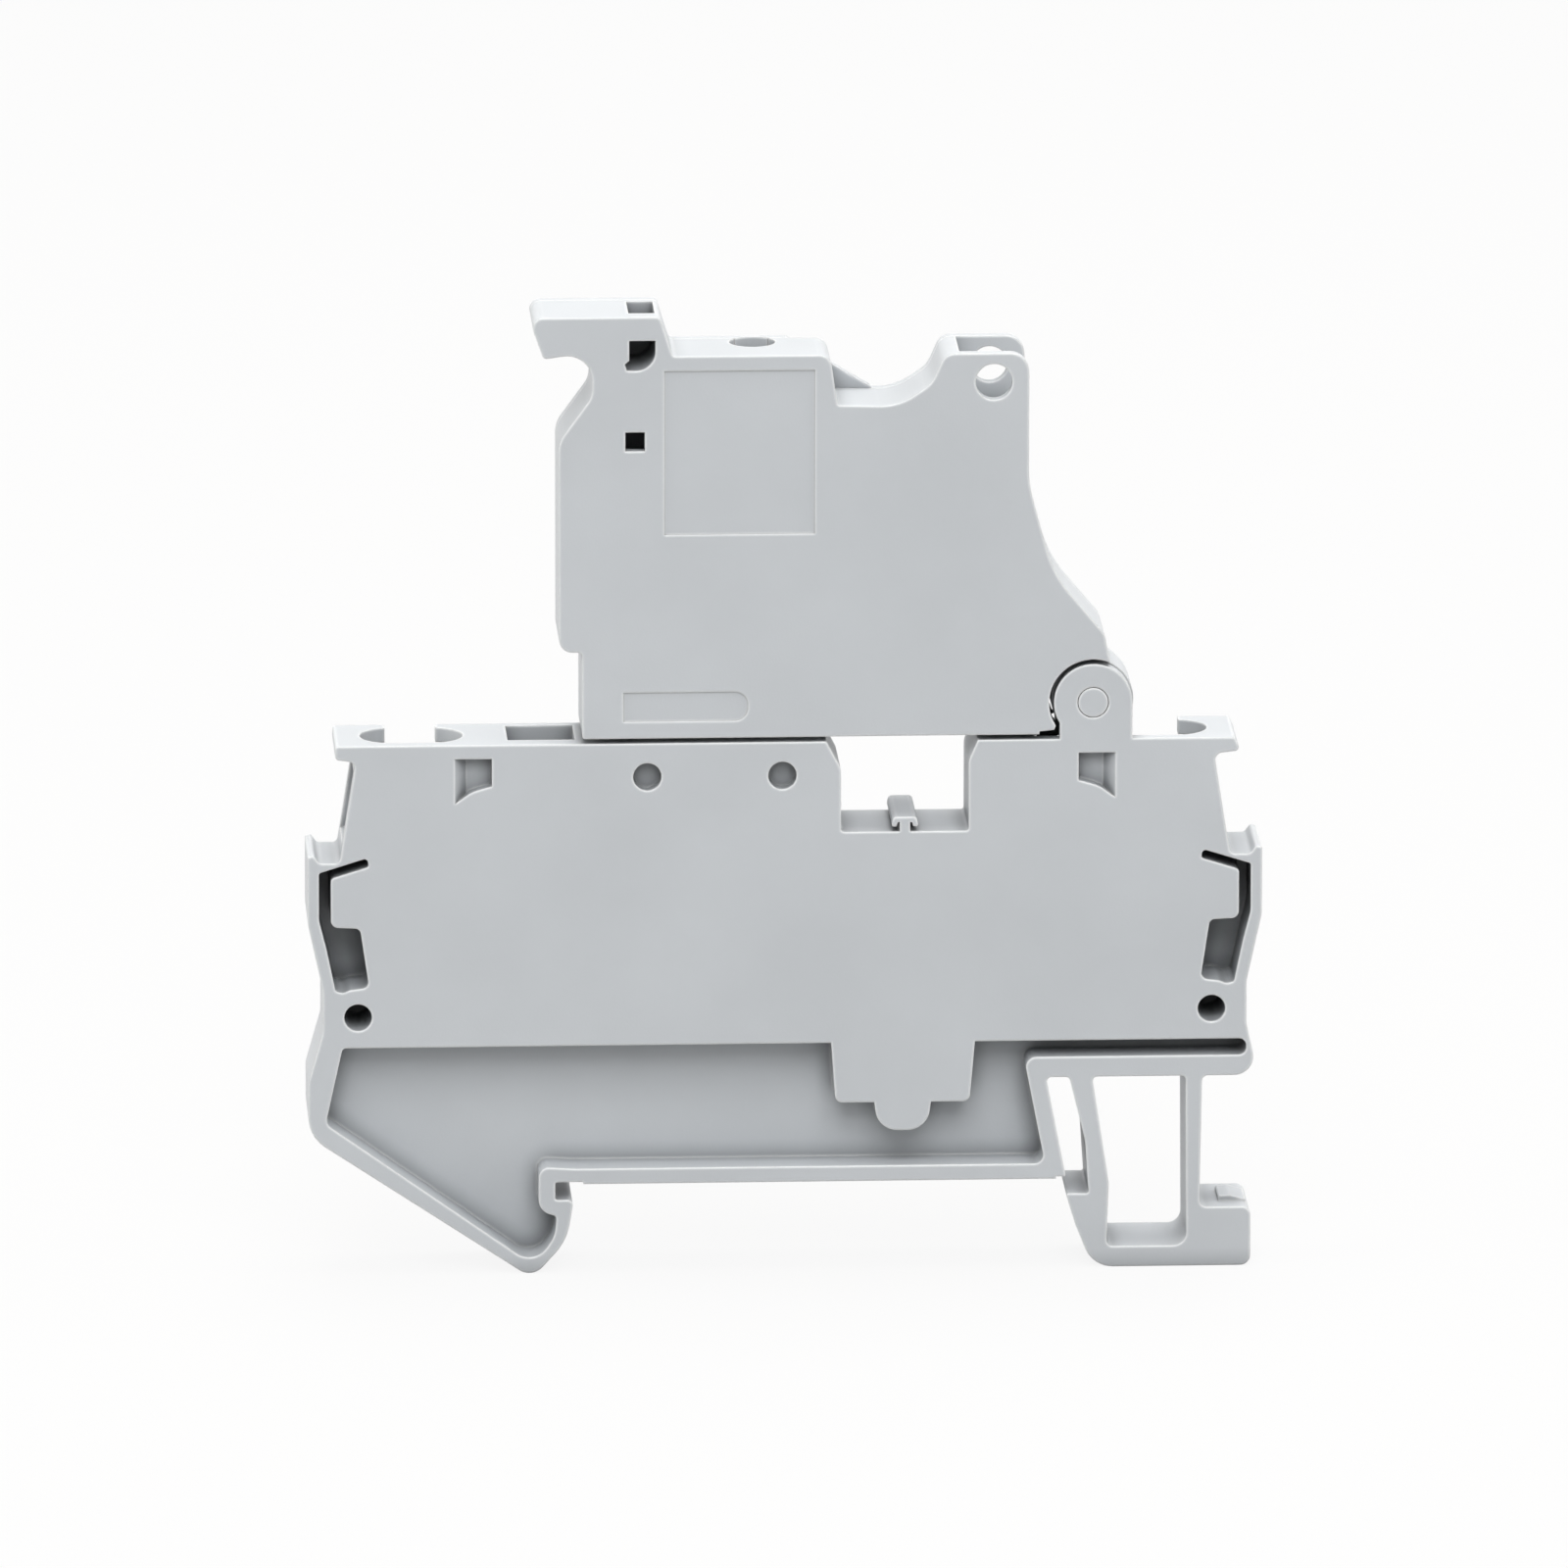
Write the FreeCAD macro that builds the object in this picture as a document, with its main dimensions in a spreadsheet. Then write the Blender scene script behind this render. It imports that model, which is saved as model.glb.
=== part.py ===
import FreeCAD, Part
import Sketcher
import math
import os

# Fuse terminal block for a 35 mm rail, 6.2 mm pitch, with a hinged lever for a 5 x 20 mm fuse link.
# Frame: X along the block, Y through its thickness with the flat side at the front, Z up.
# The origin is the middle of the seat on the rail.

SIZES = {
    # Moulding of the base
    "pitch_width": 6.2,
    "block_centre": -2.35,
    "block_half": 32.0,
    "block_top": 30.4,
    "plate_bottom": 9.6,
    "front_wall": 1.4,
    "side_wall": 1.0,
    "floor_wall": 1.2,
    "hook_inset": 1.9,
    "flank_inset": 3.25,
    "flank_lean": 1.1,
    "hook_thick": 0.9,
    "hook_lean_left": 0.05,
    "hook_lean_right": 0.45,
    "lip_height": 22.9,
    "lip_saddle": 0.55,
    "bulge_height": 18.2,
    "waist_inset": 1.0,
    "waist_top": 13.6,
    "waist_bottom": 10.7,
    "waist_round": 2.2,
    # Leg and rail jaw
    "rail_half": 17.5,
    "rail_play": 0.3,
    "seat_half": 15.9,
    "seat_relief": 0.15,
    "rail_slot": 1.1,
    "leg_flare": 7.2,
    "leg_corner": 3.5,
    "leg_corner_round": 2.5,
    "toe_x": -19.35,
    "toe_depth": 6.5,
    "toe_round": 1.2,
    "jaw_tip_x": -16.55,
    "jaw_depth": 3.9,
    "jaw_round": 4.0,
    "bar_thick": 1.05,
    "leg_rim": 1.1,
    "web_front": -0.4,
    "web_back": 0.5,
    # Flexing foot
    "foot_top": 8.45,
    "foot_bar": 1.4,
    "foot_depth": 6.15,
    "foot_end_x": 29.0,
    "foot_end_top": -2.1,
    "foot_floor": 1.4,
    "foot_lip_front": -1.5,
    "foot_lip_back": 1.3,
    "ledge_drop": 1.05,
    "nose_x": 16.55,
    "ledge_inner": 18.1,
    "post_top": 16.75,
    "post_thick": 1.35,
    "slant_top": 13.7,
    "slant_thick": 1.5,
    "arm_x": 24.6,
    "arm_thick": 0.95,
    # Tongue over the leg and centre notch
    "tongue_left": 0.9,
    "tongue_right": 10.2,
    "tongue_bottom": 5.45,
    "tongue_tip": 3.5,
    "notch_left": 1.38,
    "notch_right": 9.95,
    "notch_floor": 24.15,
    "peg_width": 1.8,
    "peg_height": 1.0,
    # Openings of the base
    "driver_offset": 24.95,
    "driver_length": 6.9,
    "driver_width": 4.3,
    "driver_slot": 3.4,
    "shaft_left": -20.9,
    "shaft_length": 4.5,
    "shaft_back_wall": 0.7,
    "shaft_wall": 0.85,
    "chamber_neck": 27.7,
    "chamber_bulge": 29.55,
    "chamber_foot": 27.2,
    "funnel_low": 23.5,
    "funnel_high": 28.5,
    "fork_left": -15.6,
    "fork_mouth": 5.4,
    "channel_room": 2.2,
    "slot_depth": 4.0,
    "rivet_hole": 0.93,
    "rivet_inset": 3.35,
    "rivet_height": 11.7,
    "rivet_depth": 5.0,
    "pin_hole": 0.95,
    "pin_depth": 1.0,
    "pin_height": 28.1,
    "pin_one": -11.6,
    "pin_two": -2.55,
    "window_depth": 1.0,
    "window_inner": 19.65,
    "window_length": 2.5,
    "window_ramp": 0.8,
    "window_top": 29.45,
    # Hinge
    "pivot_x": 18.26,
    "pivot_z": 32.9,
    "lug_radius": 2.63,
    "lug_thick": 1.0,
    "trunnion_radius": 1.0,
    "hinge_play": 0.05,
    "lug_gap": 0.33,
    "gap_depth": 1.0,
    "gap_start": 75.0,
    "gap_end": 215.0,
    "hub_radius": 2.75,
    "hub_play": 0.1,
    # Lever
    "lever_gap": 0.35,
    "lever_wall": 0.8,
    "cover_thick": 0.8,
    "lever_rim": 0.9,
    "lever_left": -17.5,
    "lever_foot": -15.95,
    "lever_step": 36.7,
    "lever_top": 56.9,
    "lever_right": 13.9,
    "handle_top": 59.6,
    "handle_tip": -19.5,
    "handle_right": -10.75,
    "dish_left": 0.75,
    "dish_floor": 53.45,
    "fin_left": 2.75,
    "fin_right": 2.85,
    "ear_left": 8.3,
    "link_hole": 1.23,
    "link_hole_x": 11.55,
    "link_hole_z": 54.95,
    "ear_wall": 0.8,
    "bay_drop": 0.9,
    "test_hole": 1.55,
    "test_hole_x": -4.4,
    "test_hole_y": 1.2,
    "label_left": -10.46,
    "label_right": -0.4,
    "label_bottom": 44.7,
    "label_top": 55.9,
    "label_depth": 0.08,
    "mark_left": 2.75,
    "mark_right": 11.1,
    "mark_rise": 1.15,
    "mark_height": 2.0,
    "keyhole_left": -12.8,
    "keyhole_width": 1.75,
    "keyhole_floor": 55.9,
    "keyhole_half": 1.8,
    "slot_drop": 1.1,
    "latch_left": -13.06,
    "latch_size": 1.3,
    "latch_bottom": 50.45,
    # Fuse link
    "fuse_centre": -2.0,
    "fuse_height": 41.0,
    "fuse_length": 20.0,
    "cap_radius": 2.6,
    "cap_length": 5.0,
    "cap_wall": 0.2,
    "tube_bore": 1.7,
    "fuse_fit": 0.04,
    "wire_radius": 0.15,
    "solder_thick": 0.8,
    "fuse_play": 0.05,
    # Metal parts
    "metal_centre": 0.3,
    "metal_play": 0.1,
    "busbar_width": 2.8,
    "busbar_thick": 1.0,
    "spring_width": 3.8,
    "spring_thick": 0.5,
    "spring_window": 3.0,
    "clamp_angle": 40.0,
    "clamp_x": 26.1,
    "clamp_z": 23.2,
    "clamp_bore": 1.5,
    "loop_height": 3.6,
    "loop_reach": 3.85,
    "loop_round": 1.7,
    "leg_tip": 2.1,
    "riser_inset": 20.55,
    "blade_radius": 31.26,
    "blade_thick": 0.8,
    "blade_sweep": 17.0,
    "blade_start": 178.5,
    "fork_mouth_angle": 190.0,
    "fork_root_angle": 203.0,
    "leaf_angle": 193.0,
    "cradle_start": 228.0,
    "cradle_end": 306.0,
    "ring_start": 162.0,
    "ring_end": 340.0,
    "fork_play": 0.05,
    "fork_arm": 0.7,
    "clip_thick": 0.4,
    "clip_width": 2.6,
    "contact_thick": 0.35,
    "riser_x": 14.9,
}

doc = FreeCAD.newDocument("FuseTerminalBlock")
sheet = doc.addObject("Spreadsheet::Sheet", "Sizes")


class Size:
    """A length with its value and the sheet expression that gives it."""

    def __init__(self, text, value):
        self.text = text
        self.value = value

    def __add__(self, other):
        other = size(other)
        return Size(f"({self.text} + {other.text})", self.value + other.value)

    def __sub__(self, other):
        other = size(other)
        return Size(f"({self.text} - {other.text})", self.value - other.value)

    def __mul__(self, other):
        other = size(other)
        return Size(f"({self.text} * {other.text})", self.value * other.value)

    def __truediv__(self, other):
        other = size(other)
        return Size(f"({self.text} / {other.text})", self.value / other.value)

    def __neg__(self):
        return Size(f"(0 - {self.text})", -self.value)

    __radd__ = __add__
    __rmul__ = __mul__

    def __rsub__(self, other):
        return size(other) - self


class SizeTable:
    """Gives each cell of the sheet as a Size by its alias."""

    def __getattr__(self, alias):
        return Size(f"Sizes.{alias}", SIZES[alias])


S = SizeTable()


def size(number):
    """A plain number as a Size."""
    if isinstance(number, Size):
        return number
    return Size(repr(float(number)), float(number))


def cosine(angle):
    return Size(f"cos({angle.text})", math.cos(math.radians(angle.value)))


def sine(angle):
    return Size(f"sin({angle.text})", math.sin(math.radians(angle.value)))


def fill_sheet():
    for row, (alias, value) in enumerate(SIZES.items(), start=1):
        sheet.set(f"A{row}", alias)
        sheet.set(f"B{row}", str(value))
        sheet.setAlias(f"B{row}", alias)
    doc.recompute()


def bind(target, path, value):
    target.setExpression(path, size(value).text)


def new_body(label):
    body = doc.addObject("PartDesign::Body", label)
    body.Label = label
    return body


def new_sketch(body, name, plane, offset, lift=0.0):
    """An empty sketch on one of the body's origin planes, moved along its normal and its upward axis."""
    sketch = body.newObject("Sketcher::SketchObject", name)
    role = {"XZ": "XZ_Plane", "XY": "XY_Plane", "YZ": "YZ_Plane"}[plane]
    support = [item for item in body.Origin.OriginFeatures if item.Role == role][0]
    sketch.AttachmentSupport = [(support, "")]
    sketch.MapMode = "FlatFace"
    sketch.AttachmentOffset = FreeCAD.Placement(
        FreeCAD.Vector(0, size(lift).value, size(offset).value), FreeCAD.Rotation()
    )
    bind(sketch, "AttachmentOffset.Base.z", offset)
    bind(sketch, "AttachmentOffset.Base.y", lift)
    return sketch


class Drawing:
    """Collects the geometry and the constraints of one sketch, and adds them together."""

    def __init__(self, sketch):
        self.sketch = sketch
        self.constraints = []
        self.bound = []

    def tie(self, *arguments):
        """A constraint with no size, such as Coincident or Tangent."""
        self.constraints.append(Sketcher.Constraint(*arguments))

    def measure(self, value, *arguments):
        """A constraint whose size follows the sheet."""
        value = size(value)
        self.bound.append((len(self.constraints), value))
        self.constraints.append(Sketcher.Constraint(*arguments, value.value))

    def place(self, geometry, position, x, y):
        self.measure(x, "DistanceX", -1, 1, geometry, position)
        self.measure(y, "DistanceY", -1, 1, geometry, position)

    def finish(self):
        self.sketch.addConstraint(self.constraints)
        for index, value in self.bound:
            bind(self.sketch, f"Constraints[{index}]", value)


def corner_trim(before, corner, after, radius):
    """Where a corner's arc starts and ends on its two sides, and the arc's centre."""
    towards = (before - corner).normalize()
    away = (after - corner).normalize()
    half = towards.getAngle(away) / 2
    reach = radius / math.tan(half)
    centre = corner + (towards + away).normalize() * (radius / math.sin(half))
    return corner + towards * reach, corner + away * reach, centre


def draw_outline(sketch, corners):
    """A closed outline of straight sides through named corners, some of them rounded."""
    drawing = Drawing(sketch)
    corners = [tuple(size(item) for item in corner) for corner in corners]
    points = [FreeCAD.Vector(corner[0].value, corner[1].value, 0) for corner in corners]
    count = len(points)
    trims = []
    for i, corner in enumerate(corners):
        if len(corner) == 3:
            trims.append(corner_trim(points[i - 1], points[i], points[(i + 1) % count], corner[2].value))
        else:
            trims.append((points[i], points[i], None))
    lines = [Part.LineSegment(trims[i][1], trims[(i + 1) % count][0]) for i in range(count)]
    sides = sketch.addGeometry(lines, False)
    for i, corner in enumerate(corners):
        before, after = sides[i - 1], sides[i]
        enter, leave, centre = trims[i]
        if centre is None:
            drawing.tie("Coincident", before, 2, after, 1)
            drawing.place(after, 1, corner[0], corner[1])
            continue
        middle = centre + (points[i] - centre).normalize() * corner[2].value
        arc = sketch.addGeometry(Part.Arc(enter, middle, leave), False)
        first = (sketch.getPoint(arc, 1) - enter).Length < (sketch.getPoint(arc, 2) - enter).Length
        start, end = (1, 2) if first else (2, 1)
        mark = sketch.addGeometry(Part.Point(points[i]), True)
        drawing.tie("Tangent", before, 2, arc, start)
        drawing.tie("Tangent", arc, end, after, 1)
        drawing.tie("PointOnObject", mark, 1, before)
        drawing.tie("PointOnObject", mark, 1, after)
        drawing.measure(corner[2], "Radius", arc)
        drawing.place(mark, 1, corner[0], corner[1])
    drawing.finish()


def draw_circle(sketch, x, y, radius):
    drawing = Drawing(sketch)
    centre = FreeCAD.Vector(size(x).value, size(y).value, 0)
    ring = Part.Circle(centre, FreeCAD.Vector(0, 0, 1), size(radius).value)
    circle = sketch.addGeometry(ring, False)
    drawing.place(circle, 3, x, y)
    drawing.measure(radius, "Radius", circle)
    drawing.finish()


def draw_band(sketch, inner, outer, first, last):
    """Part of a ring about the pivot, between two radii and two angles in degrees."""
    drawing = Drawing(sketch)
    centre = FreeCAD.Vector(S.pivot_x.value, S.pivot_z.value, 0)
    first, last = size(first), size(last)
    arcs = []
    for radius in (size(inner), size(outer)):
        ring = Part.Circle(centre, FreeCAD.Vector(0, 0, 1), radius.value)
        start, end = math.radians(first.value), math.radians(last.value)
        arc = sketch.addGeometry(Part.ArcOfCircle(ring, start, end), False)
        drawing.place(arc, 3, S.pivot_x, S.pivot_z)
        drawing.measure(radius, "Radius", arc)
        for position, angle in ((1, first), (2, last)):
            steep = abs(sine(angle).value) < abs(cosine(angle).value)
            if steep:
                drawing.measure(S.pivot_z + radius * sine(angle), "DistanceY", -1, 1, arc, position)
            else:
                drawing.measure(S.pivot_x + radius * cosine(angle), "DistanceX", -1, 1, arc, position)
        arcs.append(arc)
    for position in (1, 2):
        line = Part.LineSegment(sketch.getPoint(arcs[0], position), sketch.getPoint(arcs[1], position))
        side = sketch.addGeometry(line, False)
        drawing.tie("Coincident", side, 1, arcs[0], position)
        drawing.tie("Coincident", side, 2, arcs[1], position)
    drawing.finish()


def extrude(body, name, draw, plane, low, high, cut=False):
    """Add or remove a prism between two heights along the plane's axis."""
    low, high = size(low), size(high)
    if plane == "XZ":
        offset = -low if cut else -high
    else:
        offset = high if cut else low
    sketch = new_sketch(body, f"{name}_sketch", plane, offset)
    draw(sketch)
    kind = "PartDesign::Pocket" if cut else "PartDesign::Pad"
    feature = body.newObject(kind, name)
    feature.Profile = sketch
    feature.Length = (high - low).value
    feature.Refine = False
    bind(feature, "Length", high - low)
    body.Tip = feature
    return feature


def add_outline(body, name, corners, low, high, plane="XZ"):
    return extrude(body, name, lambda sketch: draw_outline(sketch, corners), plane, low, high)


def cut_outline(body, name, corners, low, high, plane="XZ"):
    return extrude(body, name, lambda sketch: draw_outline(sketch, corners), plane, low, high, cut=True)


def add_circle(body, name, circle, low, high):
    return extrude(body, name, lambda sketch: draw_circle(sketch, *circle), "XZ", low, high)


def cut_circle(body, name, circle, low, high, plane="XZ"):
    return extrude(body, name, lambda sketch: draw_circle(sketch, *circle), plane, low, high, cut=True)


def add_band(body, name, band, low, high):
    return extrude(body, name, lambda sketch: draw_band(sketch, *band), "XZ", low, high)


def cut_band(body, name, band, low, high):
    return extrude(body, name, lambda sketch: draw_band(sketch, *band), "XZ", low, high, cut=True)


def box_corners(left, right, low, high):
    return [(left, low), (right, low), (right, high), (left, high)]


FRONT = -S.pitch_width / 2
BACK = S.pitch_width / 2
CAVITY_FACE = FRONT + S.front_wall
METAL_BACK = S.metal_centre + S.busbar_width / 2
CAVITY_FLOOR = S.plate_bottom + S.floor_wall
CAVITY_TOP = S.block_top - S.side_wall
LEVER_BOTTOM = S.block_top + S.lever_gap
COVER_FACE = BACK - S.cover_thick
BUSBAR_Z = CAVITY_FLOOR + S.metal_play + S.busbar_thick / 2


def side_x(side, distance):
    """X at a distance from the block's centre line: side -1 is the left, 1 the right."""
    return S.block_centre + side * size(distance)


def block_side(side):
    """The end of the block from its top hook down to the waist."""
    outer = S.block_half
    hook_lean = S.hook_lean_right if side > 0 else S.hook_lean_left
    return [
        (side_x(side, outer - S.hook_inset), S.block_top, 0.15),
        (side_x(side, outer - S.hook_inset + hook_lean), S.block_top - S.hook_thick, 0.3),
        (side_x(side, outer - S.flank_inset), S.block_top - S.hook_thick - 0.2, 0.5),
        (side_x(side, outer - S.flank_inset + S.flank_lean), S.lip_height - S.lip_saddle, 0.4),
        (side_x(side, outer - 0.8), S.lip_height - S.lip_saddle, 0.4),
        (side_x(side, outer - 0.4), S.lip_height, 0.15),
        (side_x(side, outer), S.lip_height - 0.1, 0.15),
        (side_x(side, outer), S.bulge_height, S.waist_round),
        (side_x(side, outer - S.waist_inset), S.waist_top, S.waist_round),
        (side_x(side, outer - S.waist_inset), S.waist_bottom, 1.4),
    ]


def block_outline():
    """The upper block down to the top of the leg, with the centre notch in its top."""
    notch_round = 0.6
    notch = [
        (S.notch_right + notch_round, S.block_top),
        (S.notch_right, S.block_top - 1.4, 1.2),
        (S.notch_right, S.notch_floor, 0.2),
        (S.notch_left, S.notch_floor, 0.2),
        (S.notch_left, S.block_top - 1.9, 1.0),
        (S.notch_left - 1.0, S.block_top),
    ]
    foot_under = S.foot_top - S.foot_bar
    lower = [
        (side_x(-1, S.block_half), S.leg_flare, 1.6),
        (side_x(-1, S.block_half), foot_under - 1.0),
        (side_x(-1, S.block_half - 2.0), foot_under - 1.0),
        (side_x(-1, S.block_half - 2.0), foot_under),
        (side_x(1, S.block_half - 0.2), foot_under, 1.3),
    ]
    right = list(reversed(block_side(1)))
    return block_side(-1) + lower + right + notch


def leg_outline():
    """The leg, from the block down to the toe and the rail jaw, with the seat on the rail."""
    slot_end = S.rail_half + S.rail_play
    leg_x = side_x(-1, S.block_half)
    return [
        (leg_x, S.foot_top - S.foot_bar - 1.0),
        (leg_x, S.leg_corner, S.leg_corner_round),
        (S.toe_x, -S.toe_depth, S.toe_round),
        (S.jaw_tip_x - 0.45, -S.jaw_depth, S.jaw_round),
        (S.jaw_tip_x, -S.rail_slot, 0.35),
        (-slot_end, -S.rail_slot, 0.15),
        (-slot_end, S.seat_relief, 0.15),
        (-S.seat_half, S.seat_relief),
        (-S.seat_half, 0.0),
        (S.seat_half, 0.0),
        (S.seat_half, S.seat_relief),
        (S.seat_half + 0.65, S.seat_relief, 0.1),
        (S.slant_top + S.slant_thick, S.foot_top - S.foot_bar, 0.3),
        (S.slant_top + S.slant_thick + 0.5, S.foot_top - S.foot_bar),
        (S.slant_top + S.slant_thick + 0.5, S.foot_top),
        (leg_x + 0.5, S.foot_top),
    ]


def foot_outline():
    """The springy foot under the right end, with the nose that catches the rail."""
    foot_under = S.foot_top - S.foot_bar
    return [
        (S.post_top - 0.5, foot_under + 0.5),
        (S.post_top - 0.5, foot_under),
        (S.post_top, foot_under, 0.3),
        (S.ledge_inner - 0.25, 2.6, 1.5),
        (S.ledge_inner, -S.ledge_drop, 0.15),
        (S.nose_x, -S.ledge_drop, 0.15),
        (S.nose_x + 0.65, -3.2, 4.0),
        (S.nose_x + 1.85, -S.foot_depth, 2.0),
        (S.foot_end_x, -S.foot_depth, 0.7),
        (S.foot_end_x, S.foot_end_top, 0.6),
        (S.arm_x + S.arm_thick, S.foot_end_top, 0.5),
        (S.arm_x + S.arm_thick + 0.15, foot_under, 0.4),
        (S.arm_x + S.arm_thick + 1.0, foot_under),
        (S.arm_x + S.arm_thick + 1.0, foot_under + 0.5),
    ]


def leg_recess(with_tongue):
    slot_wall = S.rail_half + S.rail_play + S.leg_rim
    left = side_x(-1, S.block_half - S.leg_rim)
    outline = [
        (left + 1.2, S.plate_bottom, 0.3),
        (left + 0.05, 4.35, 0.7),
        (S.toe_x + 0.15, -S.toe_depth + 0.85, 1.45),
        (S.jaw_tip_x - 1.25, 0.3 - S.jaw_depth, 2.2),
        (S.jaw_tip_x - 1.15, -S.rail_slot - S.leg_rim, 0.3),
        (-slot_wall, -S.rail_slot - 0.75, 1.0),
        (-slot_wall, S.bar_thick + 0.15, 0.7),
        (-slot_wall + 2.5, S.bar_thick, 0.8),
        (S.slant_top + 1.45, S.bar_thick, 0.6),
        (S.slant_top, S.foot_top, 0.7),
        (side_x(1, S.block_half - 1.0), S.foot_top, 0.5),
        (side_x(1, S.block_half - 1.0), S.plate_bottom, 0.5),
    ]
    if not with_tongue:
        return outline
    middle = (S.tongue_left + S.tongue_right) / 2
    return outline + [
        (S.tongue_right + 0.2, S.plate_bottom),
        (S.tongue_right - 0.15, S.tongue_bottom, 0.5),
        (middle + 1.9, S.tongue_bottom),
        (middle + 1.65, S.tongue_tip, 1.5),
        (middle - 1.65, S.tongue_tip, 1.5),
        (middle - 1.9, S.tongue_bottom),
        (S.tongue_left + 0.15, S.tongue_bottom, 0.5),
        (S.tongue_left - 0.15, S.plate_bottom),
    ]


def chamber_end(side):
    """The clamp chamber's outer end, which follows the flank and passes the flexing slot."""
    outer = S.block_half
    bulge_top = S.lip_height - 1.8
    bulge_low = S.bulge_height + 0.6
    return [
        (side_x(side, outer - S.flank_inset - S.side_wall + 0.1), CAVITY_TOP),
        (side_x(side, outer - S.flank_inset - 0.05), S.funnel_low + 0.2),
        (side_x(side, S.chamber_neck), S.lip_height + 0.1),
        (side_x(side, S.chamber_neck), bulge_top + 0.65),
        (side_x(side, S.chamber_bulge), bulge_top),
        (side_x(side, S.chamber_bulge), bulge_low),
        (side_x(side, S.chamber_foot), bulge_low),
        (side_x(side, S.chamber_foot), CAVITY_FLOOR),
    ]


def flexing_slot(side):
    """The slot behind the thin outer wall that lets the end of the block give."""
    outer = S.block_half - 0.75
    return [
        (side_x(side, outer), 21.7, 0.2),
        (side_x(side, outer - 3.25), 22.72, 0.25),
        (side_x(side, outer - 3.35), 22.1, 0.2),
        (side_x(side, outer - 0.8), 21.3, 0.3),
        (side_x(side, outer - 0.8), 17.95, 0.5),
        (side_x(side, outer - 2.75), 17.85, 0.4),
        (side_x(side, outer - 3.35), 13.75, 0.45),
        (side_x(side, outer - 2.1), 13.6, 0.6),
        (side_x(side, outer - 1.6), 13.4, 0.4),
        (side_x(side, outer - 1.1), 13.5, 0.3),
        (side_x(side, outer - 0.5), 16.4, 1.0),
        (side_x(side, outer), 18.4, 1.0),
    ]


def make_base_housing():
    body = new_body("base_housing")
    add_outline(body, "block", block_outline(), FRONT, BACK)
    add_outline(body, "leg", leg_outline(), FRONT, BACK)
    add_outline(body, "foot", foot_outline(), FRONT, BACK)
    foot_lip = [
        (S.foot_end_x - 2.1, S.foot_end_top - 0.3),
        (S.foot_end_x - 0.25, S.foot_end_top - 0.3),
        (S.foot_end_x - 0.25, S.foot_end_top + 0.1),
        (S.foot_end_x - 1.3, S.foot_end_top + 0.4, 0.3),
        (S.foot_end_x - 2.1, S.foot_end_top + 0.35, 0.15),
    ]
    add_outline(body, "foot_lip", foot_lip, S.foot_lip_front, S.foot_lip_back)
    add_marker_peg(body)
    add_hinge_lugs(body)
    window_floor = -S.foot_depth + S.foot_floor
    foot_window = [
        (S.post_top + S.post_thick + 0.2, S.foot_top - S.foot_bar, 0.3),
        (S.ledge_inner + 1.35, -0.3, 1.5),
        (S.ledge_inner + 1.2, window_floor, 0.4),
        (S.arm_x + 0.1, window_floor, 0.9),
        (S.arm_x, S.foot_top - S.foot_bar, 0.3),
    ]
    cut_outline(body, "foot_window", foot_window, FRONT, BACK)
    cut_outline(body, "leg_recess_front", leg_recess(True), FRONT, S.web_front)
    cut_outline(body, "leg_recess_back", leg_recess(False), S.web_back, BACK)
    shaft_right = S.shaft_left + S.shaft_length
    channel_top = BUSBAR_Z + S.busbar_thick / 2 + S.channel_room
    left_cavity = chamber_end(-1) + [
        (S.notch_left - S.side_wall, CAVITY_FLOOR),
        (S.notch_left - S.side_wall, CAVITY_TOP),
        (S.fork_left, CAVITY_TOP),
        (S.fork_left, channel_top),
        (S.shaft_left - S.shaft_wall, channel_top),
        (S.shaft_left - S.shaft_wall, CAVITY_TOP),
    ]
    cut_outline(body, "left_cavity", left_cavity, CAVITY_FACE, BACK)
    middle_cavity = [
        (S.notch_left, CAVITY_FLOOR),
        (S.notch_right, CAVITY_FLOOR),
        (S.notch_right, S.notch_floor - S.side_wall),
        (S.notch_left, S.notch_floor - S.side_wall),
    ]
    cut_outline(body, "middle_cavity", middle_cavity, CAVITY_FACE, BACK)
    right_cavity = chamber_end(1) + [
        (S.notch_right + S.side_wall, CAVITY_FLOOR),
        (S.notch_right + S.side_wall, CAVITY_TOP),
    ]
    cut_outline(body, "right_cavity", right_cavity, CAVITY_FACE, BACK)
    shaft = box_corners(S.shaft_left, shaft_right, CAVITY_FACE, BACK - S.shaft_back_wall)
    cut_outline(body, "bridge_shaft", shaft, channel_top - 0.5, S.block_top, plane="XY")
    fork_mouth = box_corners(S.fork_left, S.fork_left + S.fork_mouth, CAVITY_FACE, METAL_BACK + 0.5)
    cut_outline(body, "fork_mouth", fork_mouth, CAVITY_TOP - 0.5, S.block_top, plane="XY")
    for side, word in ((-1, "left"), (1, "right")):
        cut_side_openings(body, side, word)
    for number, x in enumerate((S.pin_one, S.pin_two), start=1):
        cut_circle(body, f"pin_hole_{number}", (x, S.pin_height, S.pin_hole), FRONT, FRONT + S.pin_depth)
    cut_hub_relief(body)
    return body


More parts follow.
